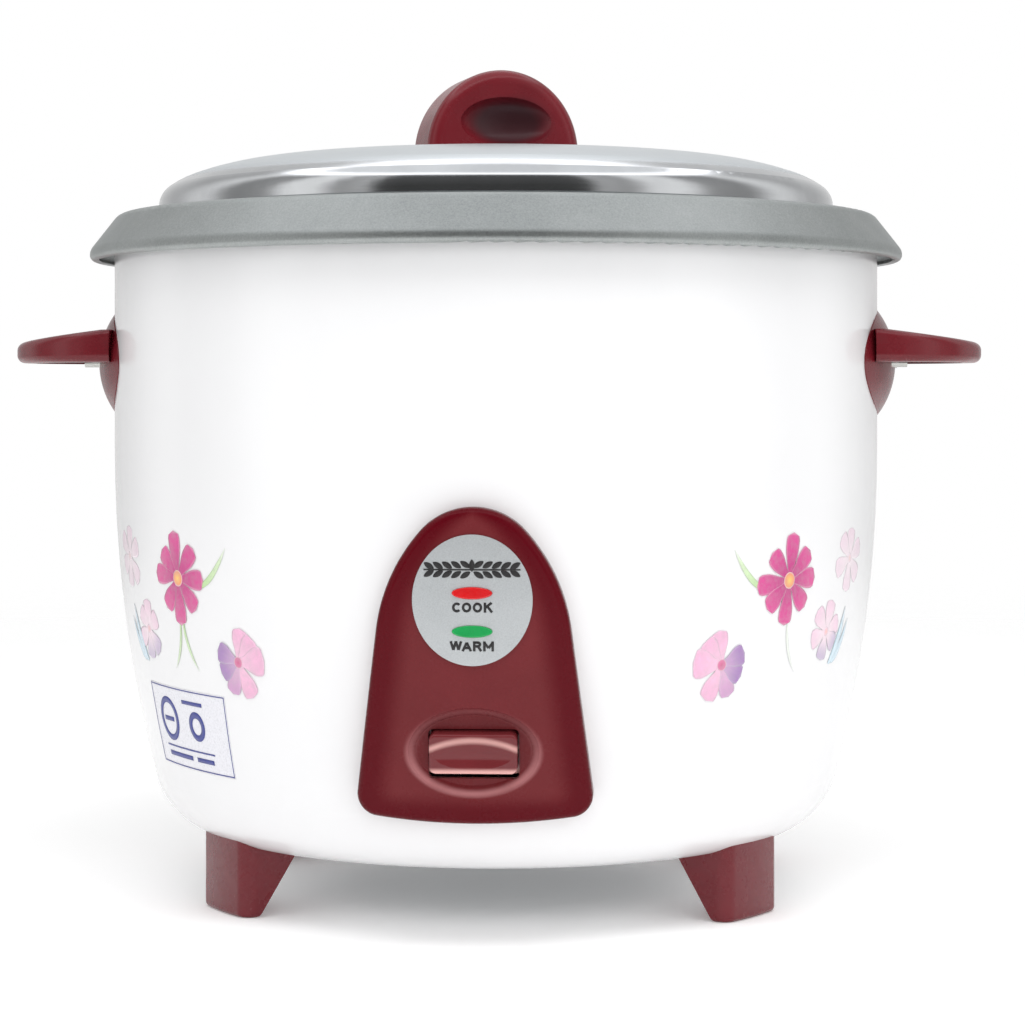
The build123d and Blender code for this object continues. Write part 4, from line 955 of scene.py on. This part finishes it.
class Sky(Tree):
    """The studio round the object: plain to the camera, soft as light, striped in reflections."""

    def __init__(self, name):
        self.world = bpy.data.worlds.new(name)
        self.world.use_nodes = True
        self.tree = self.world.node_tree
        self.tree.nodes.clear()
        self.coords = self.add("ShaderNodeTexCoord").outputs["Generated"]

    def background(self, colour, strength=1.0):
        node = self.add("ShaderNodeBackground")
        self.put(node.inputs[0], colour if isinstance(colour, bpy.types.NodeSocket) else (*colour, 1))
        node.inputs[1].default_value = strength
        return node.outputs[0]

    def choose(self, factor, a, b):
        node = self.add("ShaderNodeMixShader")
        for socket, value in zip(node.inputs, (factor, a, b)):
            self.link(value, socket)
        return node.outputs[0]

    def tones(self, value, stops):
        """Grey tones at positions 0..1."""
        node = self.add("ShaderNodeValToRGB")
        self.link(value, node.inputs[0])
        ramp = node.color_ramp
        ramp.interpolation = "EASE"
        first, last = ramp.elements
        first.position, last.position = stops[0][0], stops[-1][0]
        first.color = (*[stops[0][1]] * 3, 1)
        last.color = (*[stops[-1][1]] * 3, 1)
        for position, tone in stops[1:-1]:
            ramp.elements.new(position).color = (tone, tone, tone, 1)
        return node.outputs[0]


sky = Sky("studio")
scene.world = sky.world
x, y, z = sky.axes()
rays = sky.add("ShaderNodeLightPath").outputs
# angle off the front, 0 at -Y and 1 at +Y
sideways = sky.math("ABSOLUTE", sky.math("ADD", x, 0.03))
turn = sky.math("DIVIDE", sky.math("ARCTAN2", sideways, sky.math("MULTIPLY", y, -1.0)), math.pi)
ROUND_STOPS = (
    (0.0, 0.05),
    (0.19, 0.05),
    (0.22, 0.5),
    (0.27, 0.38),
    (0.33, 1.0),
    (0.38, 1.0),
    (0.45, 0.35),
    (0.53, 0.3),
    (0.62, 0.85),
    (0.75, 0.5),
    (1.0, 0.75),
)
RISE_STOPS = ((0.0, 0.0), (0.7, 0.05), (0.8, 1.0), (1.0, 1.0))
LINE_STOPS = ((0.0, 0.0), (0.75, 0.0), (0.8, 1.0), (0.83, 1.0), (0.88, 0.0))
SIDE_STOPS = ((0.0, 0.74), (0.4, 0.95), (0.65, 0.99), (1.0, 0.8))
round_tones = sky.tones(turn, ROUND_STOPS)
mirror = sky.mix(sky.tones(z, RISE_STOPS), round_tones, (0.95, 0.96, 0.98))
mirror = sky.mix(sky.tones(z, LINE_STOPS), mirror, (2.1, 2.1, 2.15))
soft = sky.tones(sky.ramp(x, -1.0, 1.0), SIDE_STOPS)
lit = sky.choose(rays["Is Glossy Ray"], sky.background(soft, 0.87), sky.background(mirror, 1.05))
shown = sky.choose(rays["Is Camera Ray"], lit, sky.background((1.0, 1.0, 1.0)))
sky.link(shown, sky.add("ShaderNodeOutputWorld").inputs[0])


def softbox(name, place, target, size, power, mirrored=True):
    light = bpy.data.lights.new(name, "AREA")
    light.shape = "RECTANGLE"
    light.size, light.size_y = size
    light.energy = power
    lamp = bpy.data.objects.new(name, light)
    lamp.visible_glossy = mirrored
    scene.collection.objects.link(lamp)
    lamp.location = place
    lamp.rotation_euler = (Vector(target) - Vector(place)).to_track_quat("-Z", "Y").to_euler()


softbox("key_overhead", (0.1, -0.75, 1.45), (0, -0.08, 0.12), (1.3, 0.6), 9.0, mirrored=False)
softbox("fill_front", (0.5, -1.8, 0.6), (0, 0, 0.12), (1.2, 0.8), 5.0, mirrored=False)

# floor: a pale disc that fades out far from the object
floor_mesh = bmesh.new()
bmesh.ops.create_grid(floor_mesh, x_segments=24, y_segments=24, size=3.2)
data = bpy.data.meshes.new("studio_floor")
floor_mesh.to_mesh(data)
floor_mesh.free()
floor = bpy.data.objects.new("studio_floor", data)
scene.collection.objects.link(floor)
t = Tree("studio_paper")
pale = t.mix(t.spread(t.noise(6.0, 2.0)), (0.94, 0.94, 0.94), (0.96, 0.96, 0.96))
t.finish(pale, 0.75, t.bump(t.noise(500.0), 0.05, 0.0002), Specular_IOR_Level=0.1)
t.shader.inputs["Emission Color"].default_value = (1, 1, 1, 1)
t.shader.inputs["Emission Strength"].default_value = 0.14
clear = t.add("ShaderNodeBsdfTransparent")
fade = t.add("ShaderNodeMixShader")
t.link(t.ramp(t.radius(), 0.35, 1.5, 0.0, 1.0, smooth=True), fade.inputs[0])
t.link(t.shader.outputs[0], fade.inputs[1])
t.link(clear.outputs[0], fade.inputs[2])
surface = next(n for n in t.tree.nodes if n.type == "OUTPUT_MATERIAL")
t.link(fade.outputs[0], surface.inputs["Surface"])
data.materials.append(t.material)

# ---------------------------------------------------------------- camera, level
CAMERA_DISTANCE = 0.925
CAMERA_HEIGHT = 0.1625
CAMERA_TURN = math.radians(3.0)
camera_data = bpy.data.cameras.new("camera")
camera = bpy.data.objects.new("camera", camera_data)
scene.collection.objects.link(camera)
camera.location = (
    CAMERA_DISTANCE * math.sin(CAMERA_TURN),
    -CAMERA_DISTANCE * math.cos(CAMERA_TURN),
    CAMERA_HEIGHT,
)
camera.rotation_euler = (math.radians(90), 0, CAMERA_TURN)
camera_data.sensor_width = 36
camera_data.lens = 98.2
camera_data.shift_x = 0.0161
camera_data.shift_y = -0.1176
scene.camera = camera
